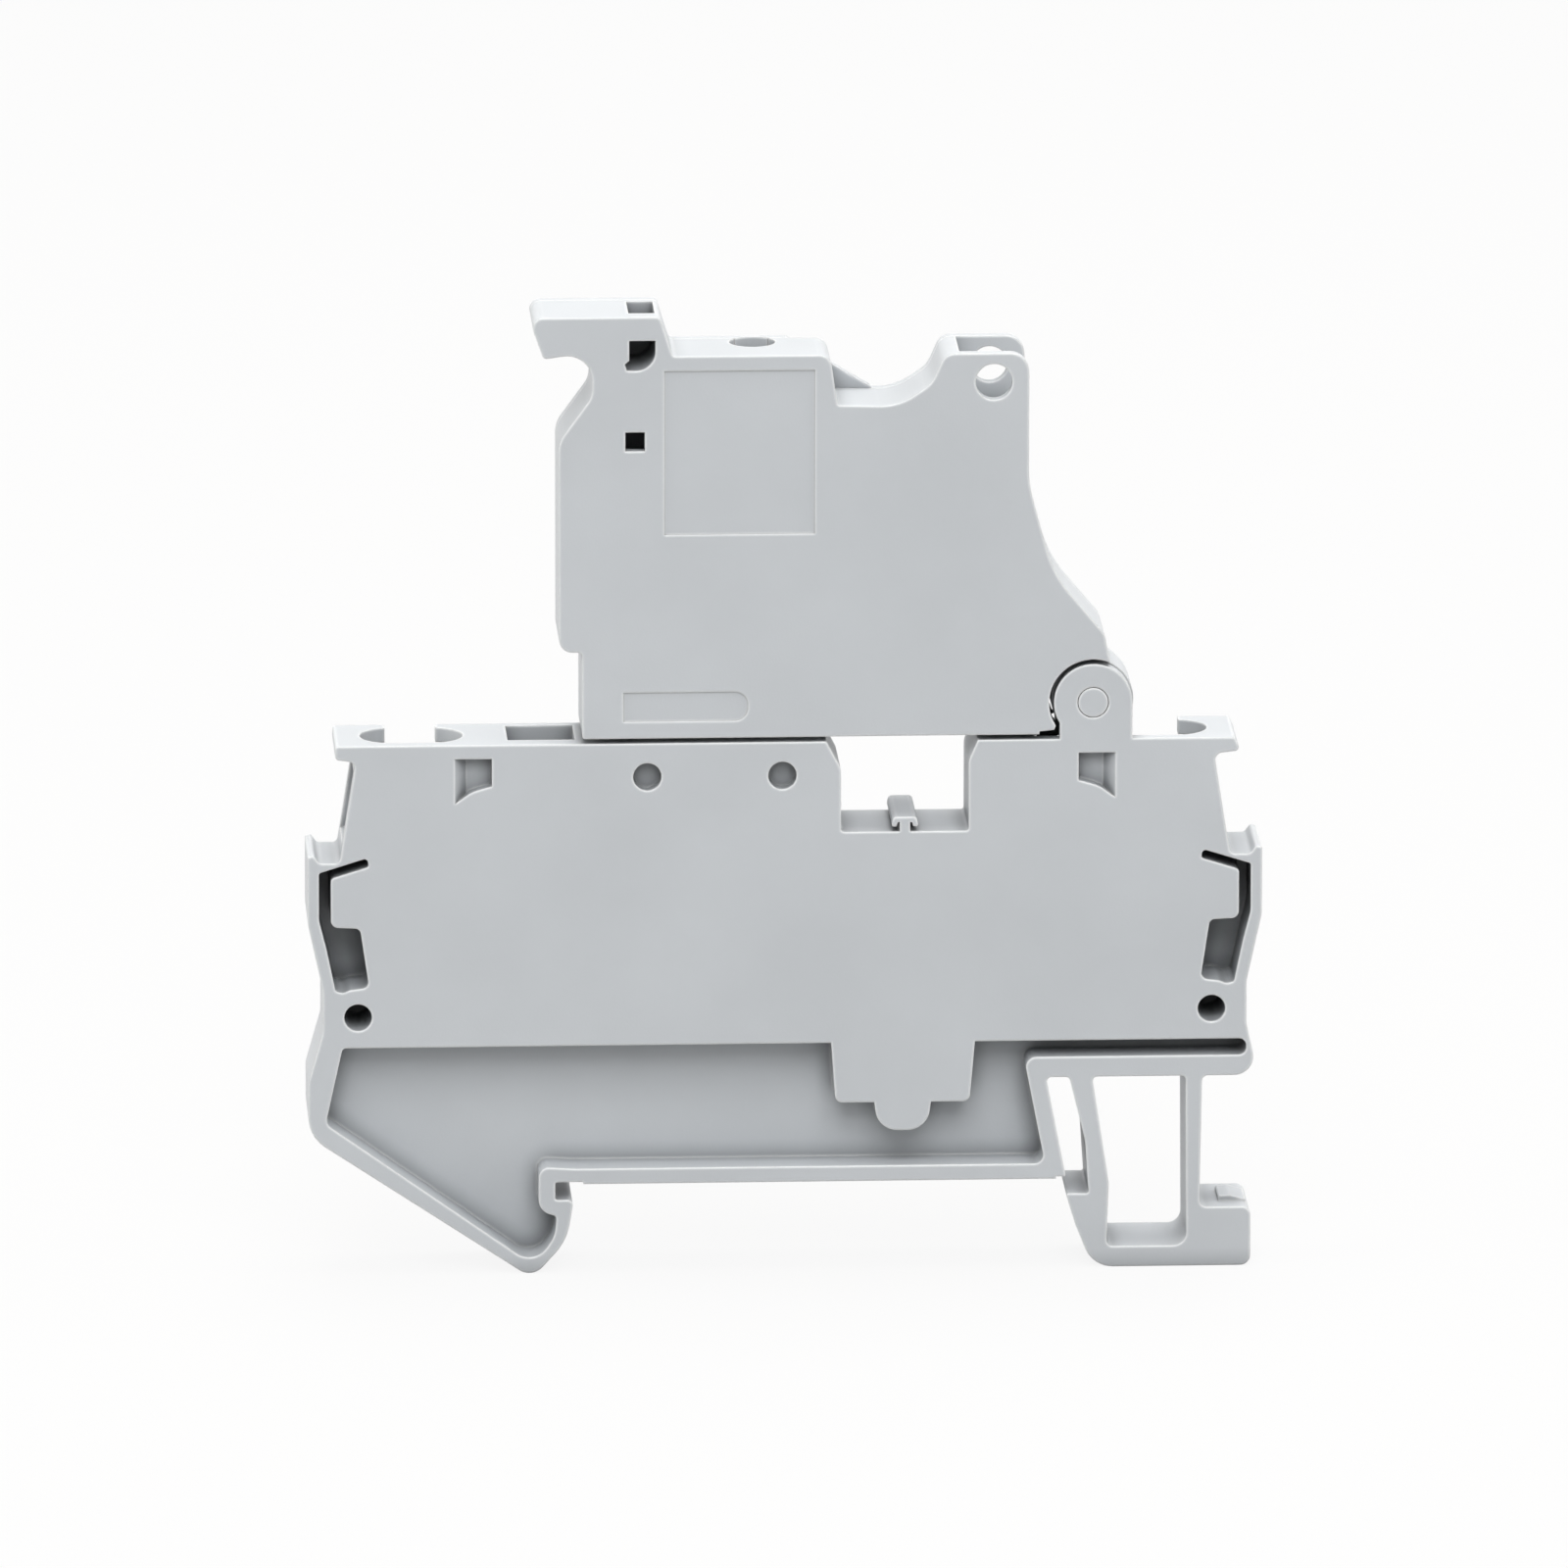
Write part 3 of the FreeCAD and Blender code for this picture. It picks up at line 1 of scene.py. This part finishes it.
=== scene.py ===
"""Looks of a narrow rail-mounted fuse terminal block, dressed over its fixed frame.

Lengths are in metres unless a name ends in _mm, with +X towards the hinge end, +Y from the closed
side to the open side and +Z away from the rail. Colours are linear. In a finish, a name that ends in
_per_mm says how fine a pattern is, and one that ends in _gloss how far it changes the roughness.
"""

import logging
import math
from collections.abc import Mapping, Sequence
from dataclasses import dataclass
from enum import Enum
from typing import Any

import bpy
import numpy as np
from mathutils import Matrix, Vector


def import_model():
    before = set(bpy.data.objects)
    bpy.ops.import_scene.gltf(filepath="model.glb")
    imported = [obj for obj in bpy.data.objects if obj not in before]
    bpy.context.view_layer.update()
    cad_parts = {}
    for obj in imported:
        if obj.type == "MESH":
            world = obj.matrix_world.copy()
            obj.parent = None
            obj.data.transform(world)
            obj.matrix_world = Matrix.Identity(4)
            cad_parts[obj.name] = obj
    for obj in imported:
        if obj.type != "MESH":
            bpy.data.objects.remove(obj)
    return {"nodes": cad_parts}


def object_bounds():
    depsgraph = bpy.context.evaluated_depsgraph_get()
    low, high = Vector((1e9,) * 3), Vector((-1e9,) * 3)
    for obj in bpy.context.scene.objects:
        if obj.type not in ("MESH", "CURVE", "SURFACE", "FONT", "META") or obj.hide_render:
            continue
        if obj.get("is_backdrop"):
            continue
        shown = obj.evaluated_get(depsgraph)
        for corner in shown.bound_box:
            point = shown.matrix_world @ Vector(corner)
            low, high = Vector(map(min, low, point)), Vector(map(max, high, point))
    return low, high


LOG = logging.getLogger("fuse_terminal")
MM = 0.001
Colour = tuple[float, float, float]
Point = tuple[float, float, float]
WHITE: Colour = (1.0, 1.0, 1.0)
EVEN: Point = (1.0, 1.0, 1.0)
UP: Point = (0.0, 0.0, 1.0)
REFRACTION = 1.5


class Grain(Enum):
    """Direction in which a rolled or drawn strip carries its fine lines."""

    ALONG_X = (0.12, 1.0, 1.0)
    ALONG_Z = (1.0, 1.0, 0.12)


class Wire:
    """A node's output that takes part in Python arithmetic by adding Math nodes."""

    def __init__(self, bench: "Bench", socket: bpy.types.NodeSocket | None) -> None:
        """Keeps the bench that the node stands on and the output socket itself.

        Args:
            bench: The bench that adds further nodes.
            socket: The output, or None where the node has none.
        """
        self.bench = bench
        self.socket = socket

    def maths(self, operation: str, *others: Any, clamp: bool = False) -> "Wire":
        """Adds one Math node with this value as its first operand.

        Args:
            operation: Name of the Math node's operation.
            others: The other operands, each a Wire or a number.
            clamp: Whether the result is held between 0 and 1.

        Returns:
            The result as a Wire.
        """
        settings = {"operation": operation, "use_clamp": clamp}
        return self.bench.node("ShaderNodeMath", settings, dict(enumerate((self, *others))))

    def reflected(self, operation: str, first: float) -> "Wire":
        """Adds one Math node with a plain number as its first operand.

        Args:
            operation: Name of the Math node's operation.
            first: The number that stands before this value.

        Returns:
            The result as a Wire.
        """
        return self.bench.node("ShaderNodeMath", {"operation": operation}, {0: first, 1: self})

    def __add__(self, other: Any) -> "Wire":
        """This value plus another."""
        return self.maths("ADD", other)

    def __radd__(self, other: float) -> "Wire":
        """A number plus this value."""
        return self.reflected("ADD", other)

    def __sub__(self, other: Any) -> "Wire":
        """This value minus another."""
        return self.maths("SUBTRACT", other)

    def __rsub__(self, other: float) -> "Wire":
        """A number minus this value."""
        return self.reflected("SUBTRACT", other)

    def __mul__(self, other: Any) -> "Wire":
        """This value times another."""
        return self.maths("MULTIPLY", other)

    def __rmul__(self, other: float) -> "Wire":
        """A number times this value."""
        return self.reflected("MULTIPLY", other)

    def __pow__(self, other: Any) -> "Wire":
        """This value raised to a power."""
        return self.maths("POWER", other)

    def clamped(self) -> "Wire":
        """This value held between 0 and 1."""
        return self.maths("ADD", 0.0, clamp=True)


class Bench:
    """The node tree of one material or world, filled by one method for every kind of node."""

    COLUMNS = 9
    STEP_RIGHT = 220
    STEP_DOWN = 260
    EDGE_SAMPLES = 6
    SHELTER_SAMPLES = 8
    EDGE_GAIN = 1.5
    MIX_FIRST, MIX_SECOND, MIX_RESULT = 6, 7, 2

    def __init__(self, owner: bpy.types.Material | bpy.types.World) -> None:
        """Takes the owner's node tree over and empties it.

        Args:
            owner: The material or world that the nodes belong to.
        """
        owner.use_nodes = True
        self.owner = owner
        self.tree = owner.node_tree
        self.tree.nodes.clear()
        self.count = 0

    def node(
        self,
        kind: str,
        settings: Mapping[str, Any] | None = None,
        inputs: Mapping[str | int, Any] | None = None,
        output: str | int = 0,
    ) -> Wire:
        """Adds any node, sets it up and feeds it.

        Args:
            kind: Blender's type name of the node.
            settings: Its own properties, such as a Math node's operation.
            inputs: Values or Wires by socket name or number.
            output: Name or number of the output that is returned.

        Returns:
            The chosen output as a Wire.
        """
        made = self.tree.nodes.new(kind)
        column, row = self.count % self.COLUMNS, self.count // self.COLUMNS
        made.location = (self.STEP_RIGHT * column, -self.STEP_DOWN * row)
        self.count += 1
        for name, value in (settings or {}).items():
            setattr(made, name, value)
        for name, value in (inputs or {}).items():
            if isinstance(value, Wire):
                self.tree.links.new(value.socket, made.inputs[name])
            else:
                made.inputs[name].default_value = value
        return Wire(self, made.outputs[output] if made.outputs else None)

    def place(self, scale: Sequence[float]) -> Wire:
        """Object coordinates in millimetres.

        Args:
            scale: Stretch along X, Y and Z.

        Returns:
            The coordinates as a Wire.
        """
        coords = self.node("ShaderNodeTexCoord", output="Object")
        factors = tuple(factor / MM for factor in scale)
        return self.node("ShaderNodeMapping", None, {"Vector": coords, "Scale": factors})

    def noise(self, per_mm: float, detail: float, scale: Sequence[float] = EVEN) -> Wire:
        """Fractal noise over the piece.

        Args:
            per_mm: Size of its pattern, in features per millimetre.
            detail: Number of finer layers.
            scale: Stretch of the coordinates along X, Y and Z.

        Returns:
            The noise's value, about 0.5 in the middle.
        """
        inputs = {"Vector": self.place(scale), "Scale": per_mm, "Detail": detail}
        return self.node("ShaderNodeTexNoise", None, inputs)

    def mix(self, amount: Wire, first: Any, second: Any) -> Wire:
        """Blends two colours.

        Args:
            amount: 0 for the first colour, 1 for the second.
            first: A colour or a Wire.
            second: A colour or a Wire.

        Returns:
            The blend as a Wire.
        """
        settings = {"data_type": "RGBA", "clamp_factor": True}
        tones = {self.MIX_FIRST: self.opaque(first), self.MIX_SECOND: self.opaque(second)}
        return self.node("ShaderNodeMix", settings, {0: amount, **tones}, self.MIX_RESULT)

    @staticmethod
    def opaque(tone: Any) -> Any:
        """A colour with its fourth value, or the Wire as it is."""
        return tone if isinstance(tone, Wire) else (*tone, 1.0)

    def dot(self, first: Wire, second: Wire | Point) -> Wire:
        """Measures how far two directions agree.

        Args:
            first: The first direction.
            second: The second, a Wire or plain numbers.

        Returns:
            Their dot product, 1 where they are the same.
        """
        settings = {"operation": "DOT_PRODUCT"}
        inputs = {0: first, 1: second}
        return self.node("ShaderNodeVectorMath", settings, inputs, output="Value")

    def facing(self) -> Wire:
        """The surface's own normal."""
        return self.node("ShaderNodeNewGeometry", output="Normal")

    def rounded_edge(self, radius_mm: float) -> tuple[Wire, Wire]:
        """Shading normal that rolls over edges, and a mask of where it does.

        Args:
            radius_mm: Radius of the rounding.

        Returns:
            The normal, and a value that is 0 on flats and rises towards an edge.
        """
        settings = {"samples": self.EDGE_SAMPLES}
        normal = self.node("ShaderNodeBevel", settings, {"Radius": radius_mm * MM})
        same = self.dot(normal, self.facing())
        return normal, ((1.0 - same).clamped() ** 0.5 * self.EDGE_GAIN).clamped()

    def sheltered(self, reach_mm: float, own: bool) -> Wire:
        """How far walls within a short reach close the surface in.

        Args:
            reach_mm: How far a neighbouring wall counts.
            own: Whether only the piece's own walls count.

        Returns:
            A value from 0 on an open face to 1 deep in a slot.
        """
        settings = {"samples": self.SHELTER_SAMPLES, "only_local": own}
        inputs = {"Distance": reach_mm * MM}
        return 1.0 - self.node("ShaderNodeAmbientOcclusion", settings, inputs, output="AO")

    def upward(self) -> Wire:
        """How far the surface faces up: 0 on walls and undersides, 1 on a level top."""
        return self.dot(self.facing(), UP).clamped()

    def seen_rays(self) -> Wire:
        """A value that is 1 where a camera, glossy or clear ray meets the surface, otherwise 0."""
        rays = ("Is Camera Ray", "Is Glossy Ray", "Is Transmission Ray")
        camera, glossy, through = (self.node("ShaderNodeLightPath", output=ray) for ray in rays)
        return (camera + glossy + through).clamped()

    def bump(self, height: Wire, depth_mm: float, normal: Wire) -> Wire:
        """A normal with fine relief on it.

        Args:
            height: Relief between 0 and 1.
            depth_mm: Its full depth.
            normal: The normal that it stands on.

        Returns:
            The changed normal.
        """
        inputs = {"Height": height, "Distance": depth_mm * MM, "Normal": normal}
        return self.node("ShaderNodeBump", None, inputs)

    def finish(self, **sockets: Any) -> bpy.types.Material:
        """Adds the shader and the output.

        Args:
            sockets: Values or Wires of the principled shader, with _ for each space in a name.

        Returns:
            The finished material.
        """
        named = {key.replace("_", " "): value for key, value in sockets.items()}
        shader = self.node("ShaderNodeBsdfPrincipled", None, named)
        self.node("ShaderNodeOutputMaterial", None, {"Surface": shader})
        return self.owner


def darker(colour: Colour, share: float) -> Colour:
    """A share of a colour's light."""
    return tuple(channel * share for channel in colour)


def centred(value: Wire, spread: float) -> Wire:
    """A noise's value moved to stand about 0, with its spread given."""
    return (value - 0.5) * spread


@dataclass(frozen=True)
class MouldedPolyamide:
    """Satin moulded plastic: soft mottling, a spark-eroded skin, a painted highlight on rounded
    edges and painted shade in crevices and hollows.
    """

    name: str
    colour: Colour = (0.490, 0.514, 0.538)
    edge_highlight_colour: Colour = (0.92, 0.93, 0.93)
    crevice_shade_colour: Colour = (0.10, 0.105, 0.11)
    roughness: float = 0.42
    specular: float = 0.42
    edge_mm: float = 0.26
    cloud_per_mm: float = 0.09
    cloud_low: float = 0.35
    cloud_gain: float = 2.2
    cloud_share: float = 0.93
    cloud_gloss: float = 0.10
    skin_per_mm: float = 7.0
    skin_mm: float = 0.006
    skin_gloss: float = 0.12
    crevice_mm: float = 1.3
    crevice_gain: float = 1.25
    crevice_share: float = 0.6
    hollow_mm: float = 6.0
    hollow_share: float = 0.6
    upward_share: float = 0.8

    def material(self) -> bpy.types.Material:
        """Builds the material.

        Returns:
            The material, for plastic that was moulded in one piece.
        """
        bench = Bench(bpy.data.materials.new(self.name))
        normal, edge = bench.rounded_edge(self.edge_mm)
        cloud = bench.noise(self.cloud_per_mm, detail=3.0)
        skin = bench.noise(self.skin_per_mm, detail=3.0)
        shade = darker(self.colour, self.cloud_share)
        body = bench.mix((cloud - self.cloud_low) * self.cloud_gain, shade, self.colour)
        # painted highlight: rounded edges and hole rims are mixed towards near-white as if they
        # catch the light
        edge_highlighted = bench.mix(edge, body, self.edge_highlight_colour)
        # painted shade: crevices and hollows go towards near-black where shade falls
        colour = bench.mix(self.painted_shade(bench), edge_highlighted, self.crevice_shade_colour)
        rough = self.roughness + centred(skin, self.skin_gloss) + centred(cloud, self.cloud_gloss)
        relief = bench.bump(skin, self.skin_mm, normal)
        return bench.finish(
            Base_Color=colour,
            Roughness=rough,
            Normal=relief,
            IOR=REFRACTION,
            Specular_IOR_Level=self.specular,
        )

    def painted_shade(self, bench: Bench) -> Wire:
        """How far painted shade darkens crevices and hollows; an upward face in a hollow is darkened
        less, as if lit from above.

        Args:
            bench: The material's bench.

        Returns:
            A value from 0 on an open face to 1.
        """
        crevice = bench.sheltered(self.crevice_mm, own=False)
        near = crevice.maths("MULTIPLY", self.crevice_gain, clamp=True)
        deep = bench.sheltered(self.hollow_mm, own=True) ** 2.0
        shaded = 1.0 - bench.upward() * self.upward_share
        return (near * self.crevice_share + deep * self.hollow_share * shaded).clamped()


@dataclass(frozen=True)
class PlatedStrip:
    """Plated or rolled metal strip with fine lines along its length, rougher and with painted shade
    inside gaps.
    """

    name: str
    colour: Colour
    grain: Grain
    roughness: float = 0.28
    gap_shade_colour: Colour = (0.02, 0.02, 0.02)
    edge_mm: float = 0.08
    edge_gain: float = 0.4
    line_per_mm: float = 7.0
    line_mm: float = 0.0005
    line_gloss: float = 0.10
    cloud_per_mm: float = 0.6
    cloud_gain: float = 0.8
    cloud_share: float = 0.80
    cloud_gloss: float = 0.08
    inside_mm: float = 4.0
    inside_gain: float = 2.0
    inside_start: float = 0.6
    inside_gloss: float = 0.6

    def material(self) -> bpy.types.Material:
        """Builds the material.

        Returns:
            The material of a bent metal strip.
        """
        bench = Bench(bpy.data.materials.new(self.name))
        normal, edge = bench.rounded_edge(self.edge_mm)
        lines = bench.noise(self.line_per_mm, detail=1.0, scale=self.grain.value)
        cloud = bench.noise(self.cloud_per_mm, detail=2.0)
        dull = darker(self.colour, self.cloud_share)
        plate = bench.mix(cloud * self.cloud_gain + edge * self.edge_gain, dull, self.colour)
        # painted shade: where walls of any part close the strip in, its colour goes towards
        # near-black
        closed_in = bench.sheltered(self.inside_mm, own=False)
        inside = (closed_in * self.inside_gain - self.inside_start).clamped()
        colour = bench.mix(inside, plate, self.gap_shade_colour)
        rough = self.roughness + centred(lines, self.line_gloss)
        rough = rough + centred(cloud, self.cloud_gloss) + inside * self.inside_gloss
        relief = bench.bump(lines, self.line_mm, normal)
        return bench.finish(Base_Color=colour, Roughness=rough, Normal=relief, Metallic=1.0)


@dataclass(frozen=True)
class FuseGlass:
    """Clear drawn glass with a faint unevenness."""

    name: str
    colour: Colour
    drawn: Point = (0.2, 1.0, 1.0)
    wave_per_mm: float = 0.5
    wave_mm: float = 0.02
    wave_gloss: float = 0.03
    roughness: float = 0.02

    def material(self) -> bpy.types.Material:
        """Builds the material.

        Returns:
            The tube's clear material.
        """
        bench = Bench(bpy.data.materials.new(self.name))
        wave = bench.noise(self.wave_per_mm, detail=1.0, scale=self.drawn)
        relief = bench.bump(wave, self.wave_mm, bench.facing())
        return bench.finish(
            Base_Color=bench.opaque(self.colour),
            Roughness=self.roughness + wave * self.wave_gloss,
            Normal=relief,
            IOR=REFRACTION,
            Transmission_Weight=1.0,
        )


@dataclass(frozen=True)
class PaleFloor:
    """White sweep that keeps the object's shadow and shows white around it."""

    name: str
    colour: Colour = (0.40, 0.40, 0.40)
    cloud_per_mm: float = 0.004
    cloud_share: float = 0.985
    glow: float = 0.85
    white: float = 1.04

    def material(self) -> bpy.types.Material:
        """Builds the material.

        Returns:
            The floor's material, a faintly uneven matt white.
        """
        bench = Bench(bpy.data.materials.new(self.name))
        cloud = bench.noise(self.cloud_per_mm, detail=2.0)
        colour = bench.mix(cloud, darker(self.colour, self.cloud_share), self.colour)
        plain = {"Base Color": colour, "Roughness": 1.0, "Specular IOR Level": 0.0}
        matt = bench.node("ShaderNodeBsdfPrincipled", None, plain)
        bright = {"Color": bench.opaque(WHITE), "Strength": self.white}
        white = bench.node("ShaderNodeEmission", None, bright)
        glow = bench.seen_rays() * self.glow
        both = bench.node("ShaderNodeMixShader", None, {0: glow, 1: matt, 2: white})
        bench.node("ShaderNodeOutputMaterial", None, {"Surface": both})
        return bench.owner


def clothe(node: bpy.types.Object, material: bpy.types.Material) -> None:
    """Puts one material on a frame node.

    Args:
        node: The node's object.
        material: What all of its slots get.
    """
    if not node.material_slots:
        node.data.materials.append(material)
    for slot in node.material_slots:
        slot.material = material
    LOG.info("%s dressed in %s", node.name, material.name)


@dataclass
class BaseBlock:
    """Moulded base with its rail foot, busbars, cage springs and contacts."""

    plastic: MouldedPolyamide
    bar: PlatedStrip
    spring: PlatedStrip

    def dress(self, nodes: Mapping[str, bpy.types.Object]) -> None:
        """Gives the base's nodes their finishes.

        Args:
            nodes: The frame's objects by name.
        """
        clothe(nodes["base_housing"], self.plastic.material())
        bar = self.bar.material()
        for name in ("left_busbar", "right_busbar", "fork_contact", "hinge_contact"):
            clothe(nodes[name], bar)
        spring = self.spring.material()
        for name in ("left_cage_spring", "right_cage_spring", "fork_spring"):
            clothe(nodes[name], spring)


@dataclass
class FuseLever:
    """Hinged lever with its back cover and the two contacts of the fuse link."""

    plastic: MouldedPolyamide
    cover: MouldedPolyamide
    contact: PlatedStrip

    def dress(self, nodes: Mapping[str, bpy.types.Object]) -> None:
        """Gives the lever's nodes their finishes.

        Args:
            nodes: The frame's objects by name.
        """
        clothe(nodes["lever_housing"], self.plastic.material())
        clothe(nodes["lever_cover"], self.cover.material())
        contact = self.contact.material()
        for name in ("left_fuse_clip", "right_fuse_clip"):
            clothe(nodes[name], contact)


@dataclass
class FuseLink:
    """Small glass fuse link with nickel caps, a thin wire and its solder."""

    glass: FuseGlass
    cap: PlatedStrip
    solder: PlatedStrip
    wire: PlatedStrip

    def dress(self, nodes: Mapping[str, bpy.types.Object]) -> None:
        """Gives the link's nodes their finishes.

        Args:
            nodes: The frame's objects by name.
        """
        clothe(nodes["fuse_tube"], self.glass.material())
        cap = self.cap.material()
        solder = self.solder.material()
        for side in ("left", "right"):
            clothe(nodes[f"fuse_cap_{side}"], cap)
            clothe(nodes[f"fuse_solder_{side}"], solder)
        clothe(nodes["fuse_wire"], self.wire.material())


@dataclass(frozen=True)
class SoftLamp:
    """A square lamp that faces the object."""

    name: str
    place: Point
    width: float
    power: float
    tint: Colour = WHITE

    def hang(self, target: Vector) -> None:
        """Hangs the lamp and turns it to the target.

        Args:
            target: The point that it shines at.
        """
        data = bpy.data.lights.new(self.name, "AREA")
        data.size = self.width
        data.energy = self.power
        data.color = self.tint
        lamp = bpy.data.objects.new(self.name, data)
        lamp.location = self.place
        lamp.rotation_euler = (Vector(self.place) - target).to_track_quat("Z", "Y").to_euler()
        bpy.context.scene.collection.objects.link(lamp)
        LOG.info("lamp %s hung", self.name)


WARM: Colour = (1.0, 0.97, 0.925)
LAMPS = (
    SoftLamp("overhead", (0.00, 0.05, 0.95), 0.6, 6.0, WARM),
    SoftLamp("back_above", (0.10, 0.70, 1.10), 0.7, 4.0),
    SoftLamp("front_above", (0.00, -0.90, 0.93), 0.9, 12.5),
    SoftLamp("left_side", (-1.15, -0.05, 0.33), 0.8, 8.0, WARM),
    SoftLamp("right_side", (1.15, -0.05, 0.33), 0.8, 7.6, WARM),
)


@dataclass
class WhiteSweep:
    """Floor that runs flat under the object, then turns up behind it."""

    height: float
    finish: PaleFloor
    reach: float = 1.6
    turn: float = 0.6
    rise: float = 2.4
    half_width: float = 3.0
    steps_round: int = 25
    steps_across: int = 13

    def lay(self) -> None:
        """Lays the floor.

        The profile runs flat from the front edge, then turns up along a quarter circle and rises
        straight; each point of it is repeated across the width.
        """
        arc = np.linspace(0.0, math.pi / 2, self.steps_round)
        back = self.reach + self.turn
        depth = np.concatenate(([-self.reach], self.reach + self.turn * np.sin(arc), [back]))
        height = np.concatenate(([0.0], self.turn * (1.0 - np.cos(arc)), [self.rise]))
        across = np.linspace(-self.half_width, self.half_width, self.steps_across)
        x, y = np.meshgrid(across, depth)
        z = np.repeat(height[:, None], across.size, axis=1) + self.height
        floor = grid_piece("studio_floor", np.stack((x, y, z), axis=-1))
        floor.data.materials.append(self.finish.material())
        floor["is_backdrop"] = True
        LOG.info("floor laid")


@dataclass
class Studio:
    """Floor, soft lamps, pale surroundings and the camera."""

    floor_z: float
    lamps: tuple[SoftLamp, ...] = LAMPS
    lit_point: Point = (0.0, 0.0, 0.03)
    ambient: float = 0.30
    aim: Point = (-0.002447, -0.0031, 0.027518)
    azimuth: float = -2.9
    elevation: float = 13.8
    roll: float = 0.068
    distance: float = 1.6
    focal_px: float = 24403.0
    frame_px: float = 1600.0
    sensor_mm: float = 36.0
    clip_range: tuple[float, float] = (0.01, 20.0)

    def build(self) -> None:
        """Builds the floor, the lamps, the world and the camera."""
        WhiteSweep(self.floor_z, PaleFloor("white_sweep")).lay()
        for lamp in self.lamps:
            lamp.hang(Vector(self.lit_point))
        self.light_world()
        self.set_camera()

    def light_world(self) -> None:
        """Makes an even pale world that is white where a camera, glossy or clear ray meets it."""
        world = bpy.data.worlds.new("pale_world")
        bpy.context.scene.world = world
        bench = Bench(world)
        plain = bench.opaque(WHITE)
        soft, white = (
            bench.node("ShaderNodeBackground", None, {"Color": plain, "Strength": strength})
            for strength in (self.ambient, 1.0)
        )
        blend = bench.node("ShaderNodeMixShader", None, {0: bench.seen_rays(), 1: soft, 2: white})
        bench.node("ShaderNodeOutputWorld", None, {"Surface": blend})
        LOG.info("world lit")

    def set_camera(self) -> None:
        """Stands the camera at its bearing, height and distance from the aim, and rolls it."""
        turn, lift = math.radians(self.azimuth), math.radians(self.elevation)
        level = math.cos(lift)
        back = Vector((math.sin(turn) * level, -math.cos(turn) * level, math.sin(lift)))
        data = bpy.data.cameras.new("camera")
        data.sensor_width = self.sensor_mm
        data.lens = self.focal_px / self.frame_px * self.sensor_mm
        data.clip_start, data.clip_end = self.clip_range
        camera = bpy.data.objects.new("camera", data)
        facing = back.to_track_quat("Z", "Y").to_matrix().to_4x4()
        rolled = facing @ Matrix.Rotation(math.radians(self.roll), 4, "Z")
        place = Vector(self.aim) + back * self.distance
        camera.matrix_world = Matrix.Translation(place) @ rolled
        bpy.context.scene.collection.objects.link(camera)
        bpy.context.scene.camera = camera
        LOG.info("camera set")


def grid_piece(name: str, points: np.ndarray) -> bpy.types.Object:
    """Makes a mesh from a grid of points, with one face for each cell.

    Args:
        name: The object's name.
        points: Array of rows, columns and three coordinates.

    Returns:
        The linked object, at the origin.
    """
    rows, columns = points.shape[:2]
    index = np.arange(rows * columns).reshape(rows, columns)
    cells = np.stack((index[:-1, :-1], index[:-1, 1:], index[1:, 1:], index[1:, :-1]), axis=-1)
    mesh = bpy.data.meshes.new(name)
    mesh.from_pydata(points.reshape(-1, 3), [], cells.reshape(-1, 4).tolist())
    mesh.shade_smooth()
    piece = bpy.data.objects.new(name, mesh)
    bpy.context.scene.collection.objects.link(piece)
    return piece


def main() -> None:
    """Loads the frame, dresses each sub-assembly and sets up the studio."""
    logging.basicConfig(level=logging.INFO, format="%(name)s: %(message)s")
    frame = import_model()
    cad_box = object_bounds()
    nodes = frame["nodes"]
    tin: Colour = (0.72, 0.71, 0.68)
    steel: Colour = (0.56, 0.56, 0.55)
    nickel: Colour = (0.66, 0.62, 0.55)
    lead: Colour = (0.45, 0.45, 0.46)
    silver: Colour = (0.70, 0.69, 0.66)
    clear: Colour = (0.97, 0.99, 0.98)
    BaseBlock(
        plastic=MouldedPolyamide("base_polyamide"),
        bar=PlatedStrip("tinned_bar", tin, Grain.ALONG_X),
        spring=PlatedStrip("cage_spring_steel", steel, Grain.ALONG_Z, roughness=0.22),
    ).dress(nodes)
    FuseLever(
        plastic=MouldedPolyamide("lever_polyamide"),
        cover=MouldedPolyamide("cover_polyamide"),
        contact=PlatedStrip("tinned_contact", tin, Grain.ALONG_Z),
    ).dress(nodes)
    FuseLink(
        glass=FuseGlass("fuse_glass", clear),
        cap=PlatedStrip("nickel_cap", nickel, Grain.ALONG_X, roughness=0.16),
        solder=PlatedStrip("solder", lead, Grain.ALONG_X, roughness=0.45),
        wire=PlatedStrip("fuse_wire", silver, Grain.ALONG_X, roughness=0.2),
    ).dress(nodes)
    Studio(floor_z=float(cad_box[0][2])).build()
    bpy.context.scene.view_settings.view_transform = "Standard"


if __name__ == "__main__":
    main()
